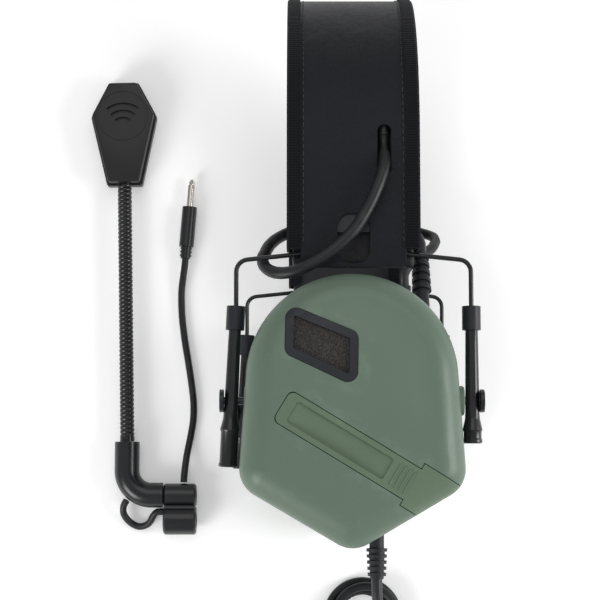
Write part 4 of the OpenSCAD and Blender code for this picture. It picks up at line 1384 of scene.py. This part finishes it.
@dataclass
class Boom:
    """The detached boom: faceted head, ribbed gooseneck and clip."""

    leg_x: float = -106.4
    goose_y: float = -13.2
    height: float = 7.1
    lean: float = 1.2
    length: float = 132.5
    radius: float = 3.55
    grip: float = 4.0
    half: float = 15.4
    wide_y: float = 33.8
    long: float = 50.0
    depth: float = 12.6
    ring_y: float = 33.0
    ring_r: float = 12.15
    wind_pitch: float = 2.1
    wind_depth: float = 0.42
    clip_end: Point = (-88.3, -51.3, 7.1)

    def frame(self) -> Matrix:
        """The gooseneck's frame in the row frame: +Y along it."""
        return at(self.leg_x, self.goose_y, self.height) @ turned(self.lean, "Z")

    def half_head(self, front: bool) -> Solid:
        """One half of the head.

        Args:
            front: the grille half, or the back half.
        Returns:
            The solid in the gooseneck's frame.
        """
        grow = 0.0 if front else 1.0
        low, top = self.half - 7.7 + grow, self.half - 8.6 + grow * 0.7
        outline = [(-low, -grow), (low, -grow), (self.half + grow, self.wide_y),
                   (top, self.long + grow), (-top, self.long + grow),
                   (-self.half - grow, self.wide_y)]
        deep = self.depth / 2
        bm = prism(outline, 0.0 if front else -deep, deep)
        edge = deep if front else -deep
        rim = [e for e in bm.edges if all(abs(v.co.z - edge) < 0.01 for v in e.verts)]
        rounded(bm, rim + upright(bm, 3), 0.9, 3)
        return moved(bm, Matrix.Translation((0, self.length - self.grip, 0)))

    def head(self) -> None:
        """Both halves, with a fine engraved ring and three sound slots on the front."""
        front, wide, fine = self.half_head(True), 1.5, 14
        y, r = self.length - self.grip + self.ring_y, self.ring_r
        ring = lathe([(r, 6.0), (r + 0.45, 6.0), (r + 0.45, 9), (r, 9), (r, 6.0)], 96)
        front = carved(front, moved(ring, Matrix.Translation((0, y, 0))))
        for r, spread in ((4.6, 42), (8.2, 40), (11.8, 38)):
            arc = [math.radians(90 + spread - 2 * spread * k / fine) for k in range(fine + 1)]
            outline = [((r + wide) * math.cos(a), (r + wide) * math.sin(a))
                       for a in reversed(arc)]
            outline += [(r * math.cos(a), r * math.sin(a)) for a in arc]
            slot = moved(prism(outline, 4.9, 4), Matrix.Translation((0, y - 6.5, 0)))
            front = carved(front, slot)
        for name, half in (("front", front), ("back", self.half_head(False))):
            Piece(f"microphone_{name}", moved(half, self.frame()), "boom", MIC_BLACK,
                  [f"mic_{name}"], sharp=25).make()

    def neck(self) -> None:
        """The gooseneck: a wound round wire over a core."""
        r, pitch, deep, steps = self.radius, self.wind_pitch, self.wind_depth, 20
        turns = int((self.length - 6) / pitch)
        bm = bmesh.new()
        half = [(r - deep, 0.0), (r - deep * 0.45, 0.16), (r - 0.06, 0.36)]
        spots = half + [(r, 0.55), (r - 0.06, 0.74), (r - deep * 0.45, 0.9), (r - deep, 1.0)]
        verts = [bm.verts.new((out, 0, 0.6 + share * pitch)) for out, share in spots]
        edges = [bm.edges.new(pair) for pair in zip(verts, verts[1:])]
        bmesh.ops.spin(bm, geom=verts + edges, cent=(0, 0, 0), axis=(0, 0, 1),
                       dvec=(0, 0, pitch / steps), angle=FULL_TURN * turns,
                       steps=steps * turns, use_merge=False)
        bmesh.ops.remove_doubles(bm, verts=bm.verts, dist=0.01)
        end = self.length
        core = lathe([(0, 0.2), (r, 0.2), (r, 2.6), (r - 0.5, 2.8), (r - 0.5, end - 4.6),
                      (r, end - 4.4), (r, end), (0, end)])
        whole = moved(joined(outward(bm), core), turned(-90, "X"))
        Piece("wound_gooseneck", moved(whole, self.frame()), "boom", GLOSS_BLACK, ["gooseneck"],
              sharp=60).make()

    def clip(self) -> None:
        """The figure-of-eight clip: two rounded barrels and a waist."""
        def barrel(radius: float, bore: float) -> Solid:
            """A rounded barrel with a bore, along +Z."""
            return lathe([(bore, 0.35), (bore + 0.35, 0), (radius - 0.9, 0), (radius, 0.9),
                          (radius, 15.1), (radius - 0.9, 16), (bore + 0.35, 16), (bore, 15.65),
                          (bore, 0.35)], 56)
        small = moved(barrel(5.7, 3.6), Matrix.Translation((0, 12.1, 0)))
        waist = prism([(-5, 4.3), (-4, 6), (-4, 7.2), (4, 7.2), (4, 6), (5, 4.3)], 0.5, 15)
        whole = moved(joined(barrel(7.1, 3.7), small, waist), at(*self.clip_end) @ turned(90, "Y"))
        Piece("boom_barrel_clip", whole, "boom_clip", GLOSS_BLACK, ["boom_clip"],
              sharp=35).make()

    def make(self) -> None:
        """Make the boom's pieces."""
        self.head()
        self.neck()
        self.clip()


# ---------------------------------------------------------------- sliders


@dataclass
class Slider:
    """A slider tube: grooved upper tube, flare, barrel and end flange."""

    side: Side
    rear: bool
    x: float = 47.3
    low_r: float = 3.0
    top_r: float = 2.5
    barrel_r: float = 3.6
    top_y: float = 38.0
    cuts: int = 10
    groove: float = 0.32

    def make(self) -> None:
        """Turn the tube, press its long grooves in and place it."""
        which, below, lean, s = ("rear", 17.0, 0.0, 1) if self.rear else ("front", 26.5, 2.6, -1)
        profile = [(0, -below), (3.4, -below), (3.9, -below + 0.5), (3.9, -below + 1.5),
                   (self.barrel_r, -below + 2), (self.barrel_r, -12.4), (4.0, -11.7),
                   (3.9, -11), (self.low_r + 0.15, -7.8), (self.low_r, -7),
                   (self.top_r, self.top_y - 0.4), (self.top_r - 0.4, self.top_y),
                   (1.0, self.top_y), (1.0, 5), (0, 5)]
        heights = (-6 + 32 * k / (self.cuts - 1) for k in range(self.cuts))
        bm = sliced(lathe(profile, 32), 2, heights)
        for vert in bm.verts:
            x, y, z = vert.co
            r = math.hypot(x, y)
            if -5.5 < z < 27 and r > 2.3 and min(abs(x), abs(y)) < 0.375 * r:
                vert.co.x, vert.co.y = x * (1 - self.groove / r), y * (1 - self.groove / r)
        height = LEFT_Z if self.side is Side.LEFT else RIGHT_Z
        lay = (at(s * self.x, self.top_y, height) @ turned(-lean, "Z")
               @ Matrix.Translation((0, -self.top_y, 0)) @ turned(-90, "X"))
        name = self.side.value
        Piece(f"{name}_{which}_tube", moved(bm, lay), f"{name}_yoke", GLOSS_BLACK,
              [f"{name}_{which}_slider"], sharp=30).make()


# ---------------------------------------------------------------- studio


@dataclass
class Studio:
    """Camera, floor and soft lights."""

    lens: float = 100.5
    tilt: float = 6.0
    eye: Point = (-21.6, -29.9, 832.5)
    aim: Point = (0.02, -0.03, 0.1)

    def camera(self) -> None:
        """The camera, looking almost straight down."""
        data = bpy.data.cameras.new("view")
        data.lens, data.sensor_width = self.lens, 36.0
        data.clip_start, data.clip_end = 0.05, 20
        eye = linked("view", data)
        eye.location = spot(self.eye)
        eye.rotation_euler = (math.radians(self.tilt), 0, 0)
        bpy.context.scene.camera = eye

    def light(self, name: str, place: Point, size: float, power: float) -> None:
        """A square soft light that faces the headset.

        Args:
            name: its name.
            place: where it stands, in metres.
            size: its side in metres.
            power: its power in watts.
        """
        data = bpy.data.lights.new(name, "AREA")
        data.energy, data.size = power, size
        lamp = linked(name, data)
        lamp.location = place
        way = Vector(self.aim) - Vector(place)
        lamp.rotation_euler = way.to_track_quat("-Z", "Y").to_euler()

    def floor(self) -> None:
        """The pale floor."""
        bm = bmesh.new()
        bmesh.ops.create_grid(bm, x_segments=1, y_segments=1, size=6)
        floor = linked("floor", meshed("floor", bm))
        floor.location.z = -0.0005
        g = Graph("pale_floor")
        tone = g.blend(g.noise(2.0), (0.93, 0.93, 0.93, 1), (0.95, 0.95, 0.95, 1))
        glow = {"Emission Color": (1.0, 1.0, 1.0, 1.0), "Emission Strength": 0.2}
        floor.data.materials.append(g.finish(tone, 0.85, None, 0.0, glow))

    def lights(self) -> None:
        """The soft lights and the bright surroundings."""
        self.light("left_box", (-0.62, -0.62, 0.52), 0.42, 4.6)
        self.light("right_box", (0.86, -0.1, 0.5), 0.45, 5.2)
        self.light("top_box", (0.0, 0.55, 1.1), 0.8, 2.2)
        world = bpy.data.worlds.new("surroundings")
        world.use_nodes = True
        sky = world.node_tree.nodes["Background"]
        sky.inputs[0].default_value = (1, 1, 1, 1)
        sky.inputs[1].default_value = 0.5
        bpy.context.scene.world = world
        bpy.context.scene.view_settings.view_transform = "Standard"


CARRIED: dict[Finish, tuple[str, ...]] = {
    WIRE: ("front_spring_wire", "rear_spring_wire"),
    STEEL: ("stiffener_strip", "wire_clamps"),
    CABLE: ("link_cable_in_band",),
    SATIN_BLACK: ("left_baffle", "right_baffle", "left_mic_jack", "left_battery_box",
                  "left_slider_collars", "right_slider_collars"),
    CAPSULE: ("left_speaker", "right_speaker", "left_ambient_mic", "right_ambient_mic",
              "mic_capsule"),
    BOARD: ("left_circuit_board",),
    CELL: ("battery_cells",),
    RUBBER: ("left_link_relief", "right_link_relief", "radio_lead_relief", "hank_tie"),
    BLACK_METAL: ("left_pivot_pins", "right_pivot_pins"),
    GLOSS_BLACK: ("radio_plug_body", "boom_elbow", "mic_plug_body"),
    PLATED: ("radio_plug_pin", "mic_plug_pin"),
}


def main() -> None:
    """Build the headset's pieces in order and dress the carried-over parts."""
    logging.basicConfig(level=logging.INFO, format="%(name)s %(message)s", force=True)
    studio = Studio()
    studio.camera()
    Cords().make()
    for side in Side:
        Cup(side).make()
        for rear in (False, True):
            Slider(side, rear).make()
    VolumeButtons().make()
    Headband().make()
    Boom().make()
    for finish, nodes in CARRIED.items():
        for node in nodes:
            dress(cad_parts[node], finish)
    studio.floor()
    studio.lights()


if __name__ == "__main__":
    main()
